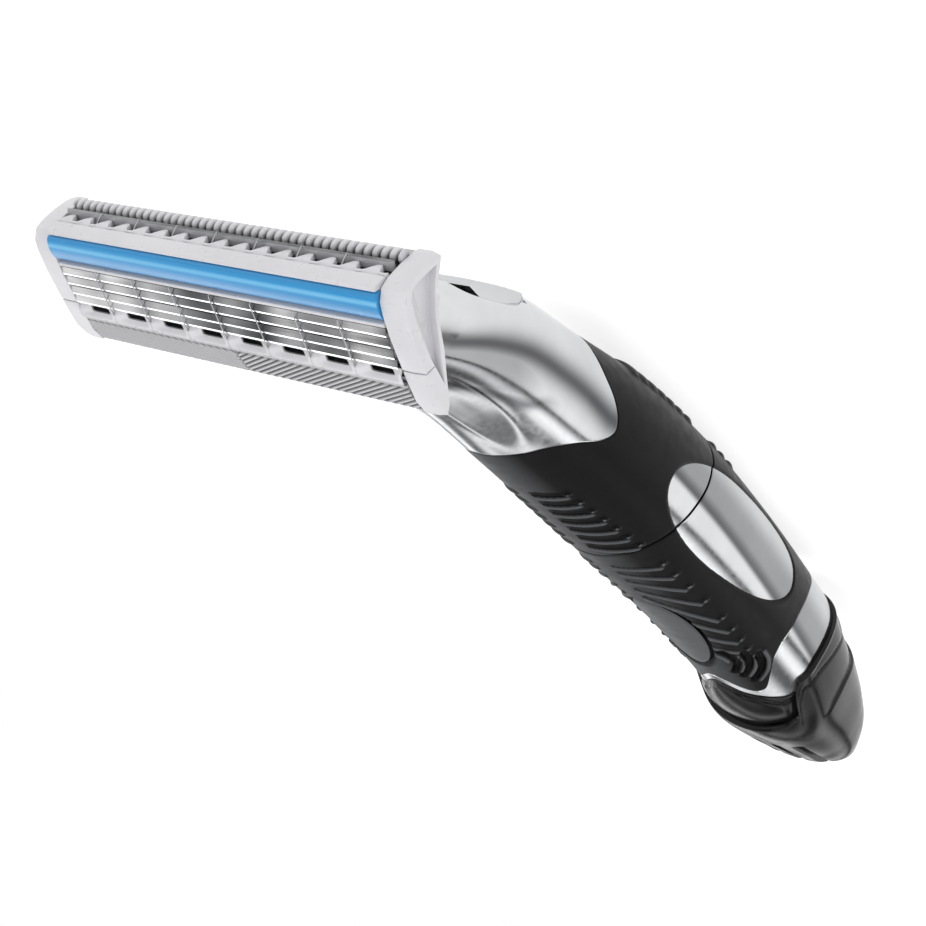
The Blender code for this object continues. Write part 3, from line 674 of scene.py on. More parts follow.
def scoop(y, theta):
    """Inset of the chrome neck: a long flute on each side and a shallow hollow by the finger side."""
    folded = fold(theta)
    across = np.radians(folded - hermite(y, *UPPER_BAND)) * 7.0
    fade = smoothstep(y, 32.0, 37.0) * (1 - 0.4 * smoothstep(y, 58.0, 66.0))
    flute = 0.5 * np.exp(-(np.abs(across) / 1.7) ** 2) * fade
    radius = np.hypot((y - 53.0) / 9.0 + 0.25 * (folded - 34) / 15, (folded - 34) / 15)
    hollow = 0.42 * np.exp(-radius**2 * 1.4) - 0.12 * np.exp(-((radius - 1.2) / 0.25) ** 2)
    return flute + hollow


def thumb_inset(y, theta):
    """Inset of the chrome neck round the release button on the thumb side."""
    folded = fold(theta)
    across = (180 - folded) / 47
    along = (y - 54.6) / 6.6
    radius = (np.abs(along) ** 3 + np.abs(across) ** 3) ** (1 / 3)
    return 0.7 * (1 - smoothstep(radius, 0.78, 1.0))


def shell_end(y, lean):
    return y + lean * station(y * FULL, 2) * np.cos(THETA)


RELEASE_POCKET = ((48.3, -1.0), (61.2, -1.0), (61.2, 10.9), (48.3, 10.9))     # y, z
POCKET_HALF = 3.6
SLIDE_DROP = 0.45             # of the release slide's top under the CAD button's


def head_shell():
    """Chrome neck, the plated core under the upper rubber, and the bore for the battery."""
    lobe = boundary(LOBE, THETA)
    end = shell_end(NECK_END, NECK_LEAN)
    rows = []
    for along, inset in ((0.0, 3.4), (0.0, 1.2), (0.05, 0.6), (0.25, 0.22), (0.55, 0.05), (0.9, 0.0)):
        rows.append((end - along, inset * FULL))
    for y in rows_between(end - 1.1, lobe + 0.12, 150):
        rows.append((y, scoop(y, THETA) + thumb_inset(y, THETA)))
    for along, inset in ((0.05, 0.03), (0.02, 0.42), (-0.2, 0.42), (-0.35, CORE_INSET)):
        rows.append((lobe + along, inset * FULL))
    seam_line = seam(SEAM_GAP)
    for y in rows_between(lobe - 0.8, seam_line + 0.16, 110):
        rows.append((y, plate_inset(y, THETA)))
    for along, inset in ((0.06, 0.04), (0.04, 0.2)):
        rows.append((seam_line + along, plate_inset(seam_line, THETA) + inset))
    for y in (seam_line + 0.04, 18.0, 24.0, BORE_END):
        rows.append((y * FULL, BORE_INSET * FULL))
    y, angle, inset = unzip(rows)
    points = handle_point(y, angle, inset)
    # the chrome's colour carries painted reflection bands
    shade = np.where(y > boundary(LOBE, THETA), neck_painted_reflection(y, angle), window_painted_reflection(y, angle))
    shell = add_piece("head_shell", points, grid_faces(len(rows), COLUMNS, caps=True), M_CHROME, "head_unit",
                      replaces=("head_body", "upper_side_trim_left", "upper_side_trim_right"), slot="chrome",
                      sharp=50.0, relief=shade)
    cut(shell, *prism_mesh(RELEASE_POCKET, -POCKET_HALF, POCKET_HALF, level_point), "pocket_tool")
    shell.data.set_sharp_from_angle(angle=math.radians(50))


def lower_shell():
    """Plated core of the lower half: spigot, side windows and the chrome lip above the collar."""
    line = seam(0.0)
    end = boundary(RUBBER_END, THETA)
    lip = boundary(LIP, THETA)
    inner = SPIGOT_INSET + SPIGOT_WALL
    seam_inset = plate_inset(line, THETA)
    rows = [(SPIGOT_END * FULL, inner * FULL), (SPIGOT_END * FULL, (SPIGOT_INSET + 0.2) * FULL),
            (SPIGOT_END * FULL - 0.2, SPIGOT_INSET * FULL), (line - 0.05, SPIGOT_INSET * FULL),
            (line - 0.05, seam_inset + 0.2), (line - 0.07, seam_inset + 0.04)]
    for y in rows_between(line - 0.16, end + 0.5, 150):
        leaf = leaf_distance(y, THETA)
        rows.append((y, plate_inset(y, THETA) + LEAF_RECESS_CORE * (1 - smoothstep(leaf, 0.1, 0.7))))
    for along, inset in ((0.3, CORE_INSET), (0.2, 0.42), (-0.03, 0.42), (-0.06, 0.05), (-0.12, 0.0)):
        rows.append((end + along, inset * FULL))
    for y in rows_between(end - 0.2, lip + 0.35, 30):
        rows.append((y, 0.0 * FULL))
    for along, inset in ((0.15, 0.03), (0.02, 0.14), (-0.01, 0.5), (-0.6, 0.9), (-0.7, inner)):
        rows.append((lip + along, inset * FULL))
    rows.append((0.0 * FULL, inner * FULL))
    y, angle, inset = unzip(rows)
    # the chrome's colour carries the painted reflection stripe of the side windows and the lip
    add_piece("lower_shell", handle_point(y, angle, inset), grid_faces(len(rows), COLUMNS, closed=True),
              M_CHROME, "trimmer_handle", slot="chrome", sharp=50.0, relief=window_painted_reflection(y, angle),
              replaces=("lower_body", "lower_side_trim_left", "lower_side_trim_right"))


def power_leaf():
    """Soft leaf-shaped button that continues the handle's curve."""
    rings = []
    around = np.arange(96) / 96 * TAU
    for share, drop in ((0.02, 0.0), (0.25, 0.0), (0.5, 0.0), (0.75, 0.0), (0.9, 0.01), (0.96, 0.06),
                        (0.975, 0.2), (0.79, 0.9)):
        x = share * (LEAF_HALF[0] - 0.2) * np.sin(around)
        y = LEAF_Y + share * (LEAF_HALF[1] - 0.2) * np.cos(around)
        width = station(y, 3)
        z = station(y, 1) + station(y, 2) * np.sqrt(1 - (x / width) ** 2) - drop - 0.04
        rings.append(np.stack([x, y, z], -1))
    points = np.stack(rings)
    # painted sheen: the leaf's rubber is coloured a lighter grey than the rubber round it
    shade = np.full(points.shape[:2], 0.93)
    add_piece("power_leaf", points, grid_faces(len(rings), 96, caps=True), M_RUBBER, "power_key",
              replaces=("power_button",), slot="black_rubber", sharp=50.0, relief=shade)


def collar():
    """Gloss black collar between the chrome lip and the comb."""
    lip = boundary(LIP, THETA)
    under = -37.2 * FULL
    bulge = 1 - smoothstep(fold(THETA), 38, 54)
    rows = [(lip - 0.06, 1.0 * FULL), (lip - 0.08, 0.2 * FULL), (lip - 0.14, 0.0 * FULL)]
    for share in np.linspace(0, 1, 40):
        y = (lip - 0.2) * (1 - share) + under * share
        groove = np.exp(-((y - lip + 0.95) / 0.28) ** 2)
        swell = np.clip(math.sin(math.pi * min(1.0, share * 1.15)), 0, 1) ** 0.7
        rows.append((y, 0.28 * groove - 0.75 * bulge * swell))
    rows += [(under - 0.2, 1.3 * FULL), (under - 5.6, 2.4 * FULL), (under - 5.8, 3.4 * FULL)]
    rows += [(under + 1.0, 3.2 * FULL), (lip - 0.1, 2.9 * FULL)]
    add_piece("collar_shell", handle_point(*unzip(rows)), grid_faces(len(rows), COLUMNS, closed=True),
              M_GLOSS, "trimmer_handle", replaces=("trimmer_collar",), slot="black_gloss", sharp=55.0)


COMB_OUTER = np.array(((-28.0, 20.9, 0.1, 9.15), (-34.0, 22.1, 0.9, 9.55), (-37.4, 22.3, 2.5, 9.6),
                       (-44.0, 21.9, 4.6, 9.2), (-50.0, 21.2, 7.0, 8.7), (-54.5, 20.6, 9.4, 7.9),
                       (-57.2, 19.6, 12.4, 6.9)))[::-1]


COMB_END = -57.2
SLOT_HALF = 0.8
SLOT_PITCH = 3.1
SLOT_TOP_Y = -44.0


def comb_point(y, theta, inset):
    """Rounded-box section of the comb; its power eases in from the round handle."""
    top, bottom, half = (hermite(y, COMB_OUTER[:, 0], COMB_OUTER[:, i]) for i in (1, 2, 3))
    middle = (top + bottom) / 2
    depth = (top - bottom) / 2
    power = 2 / (2.0 + 0.5 * smoothstep(-y, 31.0, 40.0))
    s, c = np.sin(theta), np.cos(theta)
    x = (half - inset) * np.copysign(np.abs(s) ** power, s)
    z = middle + (depth - inset) * np.copysign(np.abs(c) ** power, c)
    floor = np.maximum(inset, 0.0)
    z = 0.5 * (z + floor + np.sqrt((z - floor) ** 2 + 0.2**2))
    return np.stack([x, np.broadcast_to(y, x.shape), z], -1)


def comb_slots():
    """Four slots with round upper ends, open at the comb's end."""
    slots = []
    for i in range(4):
        x = (i - 1.5) * SLOT_PITCH
        outline = [(x + SLOT_HALF * math.cos(a), SLOT_TOP_Y + SLOT_HALF * math.sin(a))
                   for a in np.linspace(0, math.pi, 13)]
        outline += [(x - SLOT_HALF, COMB_END - 2.8), (x + SLOT_HALF, COMB_END - 2.8)]
        ring = [[(a, b, z) for a, b in outline] for z in (13.2, 25.0)]
        slots.append((ring, grid_faces(2, len(outline), caps=True)))
    return join_bodies(slots)


def comb_piece():
    """Slide-on comb: two cheeks that reach up beside the collar, and four slots at its end."""
    edge = boundary(COMB_EDGE, THETA)
    folded = fold(THETA)
    cheek = smoothstep(folded, 44, 60)
    rows = [(edge, 0.9 * FULL), (edge, 0.16 * FULL), (edge - 0.08, 0.05 * FULL), (edge - 0.2, 0.0 * FULL)]
    last = COMB_END * FULL
    for y in rows_between(edge - 0.35, last + 0.6, 110):
        below = edge - y
        line = 0.24 * np.exp(-((below - 1.6 - 2.2 * smoothstep(folded, 60, 120)) / 0.22) ** 2) * cheek
        crease_y = -38.9 - 3.2 * smoothstep(folded, 80, 130)
        crease = smoothstep(y, crease_y - 0.3, crease_y + 0.15) * cheek * smoothstep(folded, 62, 84)
        rows.append((y, line + 0.34 * crease * smoothstep(below, 0.0, 1.0)))
    for along, inset in ((0.3, 0.12), (0.1, 0.45), (0.0, 1.0), (0.0, 3.0)):
        rows.append((last + along, inset * FULL))
    outer = comb_point(*unzip(rows))
    inner_y = rows_between(-54.5 * FULL, edge, 12)
    inner = comb_point(inner_y, np.broadcast_to(THETA, inner_y.shape), np.full(inner_y.shape, 1.15))
    inner[-1] = comb_point(edge, THETA, 0.95 * FULL)
    # the outer rows run from the edge to the end, and the inner rows back to the edge
    points = np.concatenate([outer, inner])
    faces = grid_faces(len(rows), COLUMNS)
    faces += [[len(rows) * COLUMNS + i for i in face] for face in grid_faces(len(inner_y), COLUMNS)]
    faces.append([(len(rows) - 1) * COLUMNS + i for i in range(COLUMNS)])
    faces.append([len(rows) * COLUMNS + i for i in range(COLUMNS)][::-1])
    last_row = (len(points) - 1) * COLUMNS
    for i in range(COLUMNS):
        j = (i + 1) % COLUMNS
        faces.append([i, j, last_row + j, last_row + i])
    comb = add_piece("comb_shell", points, faces, M_GLOSS, "comb", replaces=("comb",), slot="black_gloss",
                     sharp=55.0)
    cut(comb, *comb_slots(), "slot_tool")
    comb.data.set_sharp_from_angle(angle=math.radians(55))


def release_button():
    """Thumb-side slide that pushes the cartridge off, with grip ridges."""
    box_lo, box_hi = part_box("eject_button")
    y0, y1 = box_lo.y / MM, box_hi.y / MM
    half = box_hi.x / MM
    columns = 90
    top = np.full(columns, box_hi.z / MM - SLIDE_DROP)
    share = np.linspace(0, 1, columns)
    y = y0 + (y1 - y0) * share
    under = station(y, 1) - station(y, 2) + 0.12
    edge = np.minimum(share, 1 - share) * (y1 - y0)
    ridges = 0.18 * (0.5 - 0.5 * np.cos(TAU * (y - y0) / 1.3)) * smoothstep(edge, 0.5, 1.2)
    round_over = 0.45 * (1 - smoothstep(edge, 0.0, 0.7)) ** 2
    rise = ((half, 0.3), (half - 0.12, 0.14), (half - 0.5, 0.05), (1.2, 0.0))
    rows = [np.stack([-half + 0 * y, y, top], -1)]
    for x, lift in [(-x, lift) for x, lift in rise] + [(0.0, 0.0)] + list(rise[::-1]):
        ribbed = ridges if abs(x) < half - 0.4 else 0.0
        rows.append(np.stack([x + 0 * y, y, np.minimum(under + lift + round_over + ribbed, top)], -1))
    rows.append(np.stack([half + 0 * y, y, top], -1))
    add_piece("release_slide", np.stack(rows), bar_faces(len(rows), columns), M_BRIGHT, "eject_slide",
              replaces=("eject_button",), slot="chrome", sharp=50.0)


# ---------------------------------------------------------------- head fittings

def tongue():
    """Plated tongue on the neck's end, with the plunger's bore."""
    outline = ((4.0, -2.2), (14.5, -2.2), (14.5, 2.2), (4.8, 2.2))
    piece = add_prism("neck_tongue", outline, -5.6, 5.6, M_CHROME, "head_unit", dock_point, slot="chrome")
    angle = np.arange(24) / 24 * TAU
    bore = [dock_point(1.25 * np.cos(angle), p, -0.9 + 1.25 * np.sin(angle)) for p in (2.0, 16.0)]
    cut(piece, bore, grid_faces(2, 24, caps=True), "bore_tool")
    round_edges(piece, 0.3)


def yoke():
    """Connector that clips on the neck and carries the cartridge on two pins."""
    arc = [(1.35 * math.cos(a), 1.35 * math.sin(a)) for a in np.linspace(-math.pi / 2, -3 * math.pi / 2, 13)]
    outline = arc + [(4.0, 1.4), (5.2, 3.2), (11.0, 3.2), (11.0, -3.2), (5.2, -3.2), (4.0, -1.4)]
    piece = add_prism("yoke", outline, -9.6, 9.6, M_LIGHT, "connector", dock_point,
                      replaces=("cartridge_connector",), slot="light_plastic")
    gap = prism_mesh(((-3.0, -5.0), (4.6, -5.0), (4.6, 5.0), (-3.0, 5.0)), -7.8, 7.8, dock_point)
    socket = prism_mesh(((4.0, -2.5), (12.0, -2.5), (12.0, 2.5), (4.0, 2.5)), -5.9, 5.9, dock_point)
    cut(piece, *gap, "gap_tool")
    cut(piece, *socket, "socket_tool")
    ring = [(0.85 * math.cos(a), 0.85 * math.sin(a)) for a in np.arange(24) / 24 * TAU]
    for side in (-1, 1):
        cut(piece, *prism_mesh(ring, side * 7.0, side * 10.0, dock_point), "pin_tool")
    round_edges(piece, 0.2)


# ---------------------------------------------------------------- cartridge

CAP_OUTLINE = (
    (8.34, -5.8), (8.46, -5.14), (8.52, -3.6), (8.42, -2.0), (8.15, -1.05), (7.3, -0.42), (6.3, -0.25),
    (4.25, -0.15), (0.33, -0.25), (-1.93, -0.43), (-3.34, -0.96), (-2.6, -1.55), (-0.75, -2.1),
    (1.6, -2.9), (3.6, -3.3), (6.2, -4.2),
)
FRAME_OUTLINE = (
    (-3.2, -1.35), (-0.05, -0.85), (-0.05, -0.7), (0.12, -0.75), (0.2, -2.0), (1.05, -2.2), (5.05, -2.3),
    (5.05, -0.25), (5.2, -0.12), (5.42, -0.14), (5.5, -0.8), (7.98, -1.0), (8.06, -0.5), (8.2, -0.42),
    (8.38, -0.5), (8.5, -0.75), (8.55, -1.9), (8.0, -2.05), (7.9, -5.3), (8.2, -5.75), (6.2, -4.2),
    (3.6, -3.3), (1.6, -2.9), (-0.75, -2.1), (-2.6, -1.6),
)


def cartridge_frame():
    piece = add_prism("cartridge_body", FRAME_OUTLINE, -FRAME_HALF, FRAME_HALF, [M_LIGHT, M_PAINTED_SHADOW],
                      "cartridge", replaces=("cartridge_frame",), slot="light_plastic")
    tools = []
    for i in range(8):
        centre = (i - 3.5) * WIRE_PITCH
        tools.append(prism_mesh(((2.3, -5.0), (4.6, -5.0), (4.6, -1.0), (2.3, -1.0)),
                                centre - 1.6, centre + 1.6))
    cut(piece, *join_bodies(tools), "rinse_tool")
    for polygon in piece.data.polygons:
        inside = [piece.data.vertices[v].co for v in polygon.vertices]
        middle = sum(inside, Vector()) / len(inside) / MM
        dy, dz = middle.y - FACE_ORIGIN[0], middle.z - FACE_ORIGIN[1]
        u = dy * math.cos(FACE_TILT) - dz * math.sin(FACE_TILT)
        n = dy * math.sin(FACE_TILT) + dz * math.cos(FACE_TILT)
        # faces deep in the blade bay and its rinse openings, and behind the edging teeth, get the painted
        # shadow plastic
        painted_dark = (0.1 < u < 5.1 and -2.4 < n < -0.9) or (7.8 < u < 8.02 and n < -2.3)
        polygon.material_index = 1 if painted_dark and abs(middle.x) < FRAME_HALF - 0.1 else 0
    round_edges(piece, 0.09, 2)
    ears = []
    for side in (-1, 1):
        outline = [(math.cos(a) + PIVOT_UN[0], 1.35 * math.sin(a) + PIVOT_UN[1])
                   for a in np.linspace(math.pi, TAU, 13)] + [(2.2, -2.9), (-1.2, -2.0)]
        ears.append(prism_mesh(outline, side * 9.9, side * 11.1))
    lugs = add_piece("pivot_lugs", *join_bodies(ears), M_LIGHT, "cartridge", slot="light_plastic")
    round_edges(lugs, 0.12, 2)


def window_ladder():
    """Bar with eight rounded openings between the guard and the first blade."""
    around = np.arange(48) / 48 * TAU
    c, sn = np.cos(around), np.sin(around)
    square = 1 / np.maximum(np.abs(c), np.abs(sn))
    soft = (np.abs(c) ** 6 + np.abs(sn) ** 6) ** (-1 / 6)
    # half width, half height, shift along x, centre u, n
    rings = ((2.05, 0.56, 0.0, 0.64, 0.0), (1.98, 0.5, 0.02, 0.66, -0.03), (1.42, 0.4, 0.16, 0.72, -0.3),
             (1.2, 0.36, 0.22, 0.76, -0.36), (1.18, 0.35, 0.22, 0.76, -0.5))
    points, faces = [], []
    for i in range(8):
        centre = (i - 3.5) * WIRE_PITCH
        start = len(points)
        edge = np.stack([centre + WIRE_PITCH / 2 * c * square, 0.63 + 0.66 * sn * square, 0 * c], -1)
        loops = [face_point(edge[:, 0], edge[:, 1], -0.36 * smoothstep(edge[:, 1], 0.7, 1.15))]
        for half, tall, shift, middle, n in rings:
            u = middle + tall * sn * soft
            depth = np.minimum(n, -0.36 * smoothstep(u, 0.7, 1.15))
            loops.append(face_point(centre + shift + half * c * soft, u, depth))
        points += [tuple(p) for loop in loops for p in loop]
        faces += [[start + v for v in face] for face in grid_faces(len(loops), len(around))]
    piece = add_piece("rinse_ladder", points, faces, M_LIGHT, "cartridge", slot="light_plastic", sharp=40.0)
    solid = piece.modifiers.new("wall", "SOLIDIFY")
    solid.thickness = 0.08 * MM
    solid.offset = 0.0


def end_caps():
    pocket = ((7.7, -1.8), (7.9, -2.6), (7.85, -4.9), (6.6, -4.05), (4.6, -3.15), (2.2, -2.55), (-0.6, -1.75),
              (2.4, -1.3), (5.4, -1.2), (7.2, -1.4))
    middle = (3.0, -2.2)
    for name, side in (("left", -1), ("right", 1)):
        rings = []
        for x, shrink in ((CAP_INNER, 1.0), (19.9, 1.0), (CAP_OUTER, 0.95)):
            rings.append([face_point(side * x, middle[0] + (u - middle[0]) * (0.4 + 0.6 * shrink),
                                     middle[1] + (n - middle[1]) * shrink) for u, n in CAP_OUTLINE])
        cap = add_piece("cap_" + name, rings, grid_faces(len(rings), len(CAP_OUTLINE), caps=True), M_LIGHT,
                        "cartridge", replaces=("end_cap_" + name,), slot="light_plastic")
        cut(cap, *prism_mesh(pocket, side * 20.1, side * 21.5), "pocket_tool")
        split = ((1.12, 0.5), (1.24, 0.5), (1.24, -1.4), (1.12, -1.4))
        cut(cap, *prism_mesh(split, side * (CAP_INNER - 0.5), side * 21.5), "split_tool")
        round_edges(cap, 0.12, 3, 24.0)


def guard():
    """Soft guard with ribs that meet in a chevron at its middle."""
    columns, rows = 1400, 34
    x = np.linspace(-FRAME_HALF, FRAME_HALF, columns)[None, :]
    t = np.linspace(0, 1, rows)[:, None]
    u = -3.25 + 3.0 * t
    ridge = np.exp(-((t - 1.0) / 0.1) ** 2)
    n = -1.02 + 0.8 * t ** 0.9 + 0.14 * ridge
    wave = 0.5 - 0.5 * np.cos(TAU * (np.abs(x) - u / 0.52) / 0.85)
    ribs = smoothstep(wave, 0.12, 0.62) * smoothstep(t, 0.02, 0.08) * (1 - smoothstep(t, 0.84, 0.9))
    ribs = ribs * smoothstep(np.abs(x), 0.04, 0.16)
    n = n + 0.2 * ribs - 0.08
    top = face_point(np.broadcast_to(x, n.shape), np.broadcast_to(u, n.shape), n)
    bottom = face_point(np.broadcast_to(x, (2, columns)), np.array([[-3.1], [-0.3]]) * np.ones((1, columns)),
                        np.array([[-1.3], [-0.62]]) * np.ones((1, columns)))
    points = np.concatenate([top, bottom[::-1]])
    # painted shade between the guard's ribs and along its lower edge; the top lip and the underside get none
    shade = np.concatenate([ribs + smoothstep(t, 0.86, 0.95) * np.ones_like(x), np.ones((2, columns))])
    add_piece("guard_ribs", points, bar_faces(rows + 2, columns), M_GUARD, "cartridge",
              replaces=("guard_strip",), slot="grey_rubber", sharp=60.0, relief=shade)


def strip():
    """Convex lubricating strip."""
    angle = np.linspace(0, math.pi, 33)
    u = 6.78 - 1.2 * np.cos(angle)
    crown = -0.72 + 0.68 * np.sin(angle) ** 0.75
    outline = [(u[0], -0.9)] + list(zip(u, crown)) + [(u[-1], -0.9)]
    # painted highlight: a lighter band along the strip's crown, darker towards its edges
    shade = [0.2 + 0.8 * math.exp(-((place[0] - 7.25) / 0.28) ** 2) for place in outline]
    add_prism("blue_strip", outline, -FRAME_HALF - 0.1, FRAME_HALF + 0.1, M_STRIP, "cartridge",
              replaces=("lube_strip",), slot="blue_strip", sharp=60.0, relief=shade * 2)


def blades():
    for i, edge in enumerate(BLADE_EDGES):
        reach = 0.72 if i else 0.68
        outline = ((edge - 0.02, -0.11), (edge + 0.17, -0.07), (edge + reach - 0.02, -0.3),
                   (edge + reach, -0.36), (edge + reach + 0.02, -1.7), (edge + reach - 0.07, -1.7),
                   (edge + reach - 0.09, -0.4), (edge + 0.2, -0.16))
        blade = add_prism("razor_blade_%d" % (i + 1), outline, -BLADE_HALF, BLADE_HALF, [M_BLADE, M_STEEL],
                          "cartridge", replaces=("blade_%d" % (i + 1),), slot="blade_steel", sharp=8.0)
        blade.data.polygons[0].material_index = 1
    edging = ((8.1, -3.0), (8.8, -3.2), (8.95, -3.32), (8.8, -3.35), (8.1, -3.3))
    blade = add_prism("edging_edge", edging, -BLADE_HALF, BLADE_HALF, [M_PLATE, M_STEEL], "cartridge",
                      replaces=("edging_blade",), slot="blade_steel", sharp=8.0)
    blade.data.polygons[1].material_index = 1


def wires():
    """Seven thin wires wrapped over the blades and down behind the edging blade."""
    path = [(0.72, -0.9), (0.75, -0.2), (0.8, -0.04), (0.9, 0.0)]
    path += [(u, 0.0) for u in np.linspace(1.2, 4.9, 8)] + [(5.1, -0.06), (5.15, -0.4)]
    lower = [(7.95, -2.1), (8.45, -2.25), (8.7, -2.7), (8.97, -3.28), (9.0, -3.38), (8.93, -3.45),
             (8.0, -3.45)]
    for i in range(7):
        x = (i - 3) * WIRE_PITCH
        parts = [tube_mesh([face_point(x, u, n) for u, n in route], 0.055) for route in (path, lower)]
        add_piece("thin_wire_%d" % (i + 1), *join_bodies(parts), M_WIRE, "cartridge",
                  replaces=("wrap_wire_%d" % (i + 1),), slot="blade_steel", sharp=60.0)


def edging_comb():
    """Plate in front of the edging blade, with lopsided rounded bumps along its edge."""
    columns = 1100
    x = np.linspace(-FRAME_HALF, FRAME_HALF, columns)
    pitch = WIRE_PITCH / 2
    phase = ((x + FRAME_HALF + 0.3) / pitch) % 1
    bump = smoothstep(phase, 0.04, 0.5) * (1 - smoothstep(phase, 0.62, 0.84))
    tip = -2.25 - 0.85 * bump
    rows = []
    for share, u in ((0.0, 7.95), (0.0, 8.3), (0.35, 8.52), (0.8, 8.58), (1.0, 8.5), (1.0, 8.2), (0.9, 7.95)):
        rows.append(face_point(x, np.full(columns, u), -1.95 + (tip + 1.95) * share))
    points = np.stack(rows)
    add_piece("edging_teeth", points, bar_faces(len(rows), columns), M_LIGHT, "cartridge",
              replaces=("edging_guard",), slot="light_plastic", sharp=40.0)


def rope_bar():
    """Bar behind the edging blade, ribbed like a twisted rope."""
    columns, rows = 24, 760
    x = np.linspace(-FRAME_HALF, FRAME_HALF, rows)[:, None]
    around = np.arange(columns)[None, :] / columns * TAU
    twist = np.cos(TAU * x / 0.84 + around)
    radius = 0.36 + 0.2 * smoothstep(twist, -0.8, 0.2)
    u = 8.5 + radius * np.cos(around)
    n = -4.5 + radius * np.sin(around)
    points = face_point(np.broadcast_to(x, u.shape), u, n)
    # painted shade in the grooves of the twist
    shade = smoothstep(twist, -0.95, 0.0)
    add_piece("ribbed_bar", points, grid_faces(rows, columns, caps=True), M_ROPE, "cartridge",
              replaces=("edging_bar",), slot="light_plastic", sharp=60.0, relief=shade)


# ---------------------------------------------------------------- CAD nodes that stay

def dress(node, mat):
    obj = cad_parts[node]
    for slot in obj.material_slots:
        slot.material = mat
    if not obj.material_slots:
        obj.data.materials.append(mat)


# ---------------------------------------------------------------- camera, lights, floor

CAMERA_PLACE = (97.942, 168.630, 60.533)
CAMERA_LENS = 66.09
CAMERA_TURN = (-74.724, 23.695, -31.567)      # degrees about X, Y and Z
FLOOR_HALF = 3.0              # metres
FLOOR_DROP = 0.00005
LAMP_AIM = (0, 0.02, 0.01)
# Brightness of the studio by height, from straight down (0) to straight up (1).
STUDIO = ((0.0, 0.4), (0.495, 0.03), (0.525, 0.03), (0.57, 1.5), (0.61, 1.7), (0.655, 0.1), (0.715, 0.12),
          (0.76, 1.4), (0.785, 1.3), (0.82, 0.2), (0.87, 0.25), (0.92, 1.4), (1.0, 1.3))
# Name, place in metres, watts, width, height.
LAMPS = (("key_light", (0.28, 0.32, 0.42), 0.8, 0.3, 0.3), ("head_light", (-0.15, 0.5, 0.3), 0.2, 0.3, 0.2),
         ("fill_light", (0.45, -0.25, 0.3), 0.4, 0.4, 0.25),
         ("back_light", (-0.45, -0.2, 0.35), 0.4, 0.4, 0.3))


def camera():
    """Camera turned upside down, as the photo shows the razor hanging with its blades down."""
    data = bpy.data.cameras.new("camera")
    data.sensor_width = 36.0
    data.lens = CAMERA_LENS
    data.clip_start = 0.01
    cam = bpy.data.objects.new("camera", data)
    cam.location = Vector(CAMERA_PLACE) * MM
    cam.rotation_euler = [math.radians(turn) for turn in CAMERA_TURN]
    bpy.context.scene.collection.objects.link(cam)
    bpy.context.scene.camera = cam


def floor():
    """Plain pale floor that glows a little, so that it comes out white as in the photo."""
    h = FLOOR_HALF
    mesh = bpy.data.meshes.new("floor")
    mesh.from_pydata([(-h, -h, 0), (h, -h, 0), (h, h, 0), (-h, h, 0)], [], [(0, 1, 2, 3)])
    s = Shader("pale_floor", 0.6, Specular_IOR_Level=0.1)
    s.colour(s.ramp(s.noise(40.0), ((0.3, 0.31), (0.7, 0.34))))
    s.bump(s.noise(0.8), 0.01)
    s.bsdf.inputs["Emission Color"].default_value = (1.0, 1.0, 1.0, 1.0)
    s.bsdf.inputs["Emission Strength"].default_value = 0.82
    mesh.materials.append(s.mat)
    plane = bpy.data.objects.new("floor", mesh)
    bpy.context.scene.collection.objects.link(plane)
    plane.location.z = -FLOOR_DROP


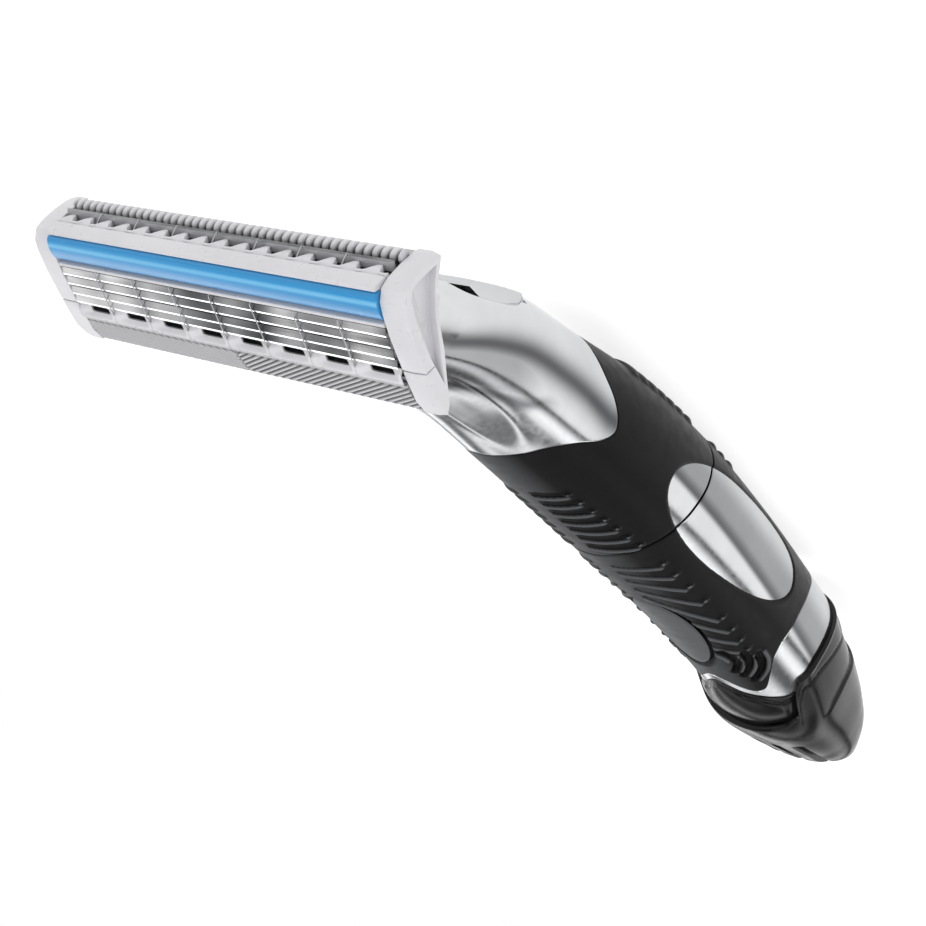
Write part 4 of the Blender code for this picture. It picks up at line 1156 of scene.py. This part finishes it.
def studio():
    """Bright and dark bands for the chrome to reflect, behind a white background."""
    world = bpy.data.worlds.new("studio")
    bpy.context.scene.world = world
    world.use_nodes = True
    nodes, links = world.node_tree.nodes, world.node_tree.links
    split = nodes.new("ShaderNodeSeparateXYZ")
    links.new(nodes.new("ShaderNodeTexCoord").outputs["Generated"], split.inputs["Vector"])
    span = nodes.new("ShaderNodeMapRange")
    span.inputs["From Min"].default_value = -1.0
    span.inputs["From Max"].default_value = 1.0
    links.new(split.outputs["Z"], span.inputs["Value"])
    ramp = nodes.new("ShaderNodeValToRGB")
    while len(ramp.color_ramp.elements) < len(STUDIO):
        ramp.color_ramp.elements.new(0.5)
    for element, (place, value) in zip(ramp.color_ramp.elements, STUDIO):
        element.position = place
        element.color = (value, value, value * 1.01, 1)
    links.new(span.outputs["Result"], ramp.inputs["Fac"])
    mix = nodes.new("ShaderNodeMix")
    mix.data_type = "RGBA"
    links.new(nodes.new("ShaderNodeLightPath").outputs["Is Camera Ray"], mix.inputs["Factor"])
    links.new(ramp.outputs["Color"], mix.inputs["A"])
    mix.inputs["B"].default_value = (1.0, 1.0, 1.0, 1.0)
    links.new(mix.outputs["Result"], nodes["Background"].inputs["Color"])
    nodes["Background"].inputs["Strength"].default_value = 1.0


def lamps():
    for name, place, energy, width, height in LAMPS:
        data = bpy.data.lights.new(name, "AREA")
        data.shape = "RECTANGLE"
        data.size, data.size_y = width, height
        data.energy = energy
        lamp = bpy.data.objects.new(name, data)
        lamp.location = place
        lamp.rotation_mode = "QUATERNION"
        lamp.rotation_quaternion = (Vector(LAMP_AIM) - Vector(place)).to_track_quat("-Z", "Y")
        bpy.context.scene.collection.objects.link(lamp)


camera()
floor()
studio()
lamps()
bpy.context.scene.view_settings.view_transform = "Standard"
head_shell()
lower_shell()
rubber_sleeve("upper_rubber", boundary(LOBE, THETA), seam(SEAM_GAP), 190, "head_unit", ("upper_grip",),
              upper_grooves(), [26.4 - 2.15 * i for i in range(7)])
rubber_sleeve("lower_rubber", seam(0.0), boundary(RUBBER_END, THETA), 250, "trimmer_handle", ("lower_grip",),
              GROOVES_LOWER, [6.4, 3.9, 1.4], SWIRLS)
power_leaf()
collar()
comb_piece()
release_button()
tongue()
yoke()
cartridge_frame()
window_ladder()
end_caps()
guard()
strip()
blades()
wires()
edging_comb()
rope_bar()
for node_name, material in (
        ("battery", M_JACKET), ("battery_spring", M_SPRING), ("contact_plate", M_BRASS), ("motor", M_SPRING),
        ("power_switch", M_DARK), ("o_ring", M_RUBBER), ("fixed_blade", M_STEEL), ("moving_cutter", M_STEEL),
        ("cutter_carrier", M_DARK), ("drive_cam", M_DARK), ("plunger", M_DARK), ("plunger_spring", M_SPRING),
        ("eject_spring", M_SPRING), ("pivot_pin_left", M_BRIGHT), ("pivot_pin_right", M_BRIGHT)):
    dress(node_name, material)
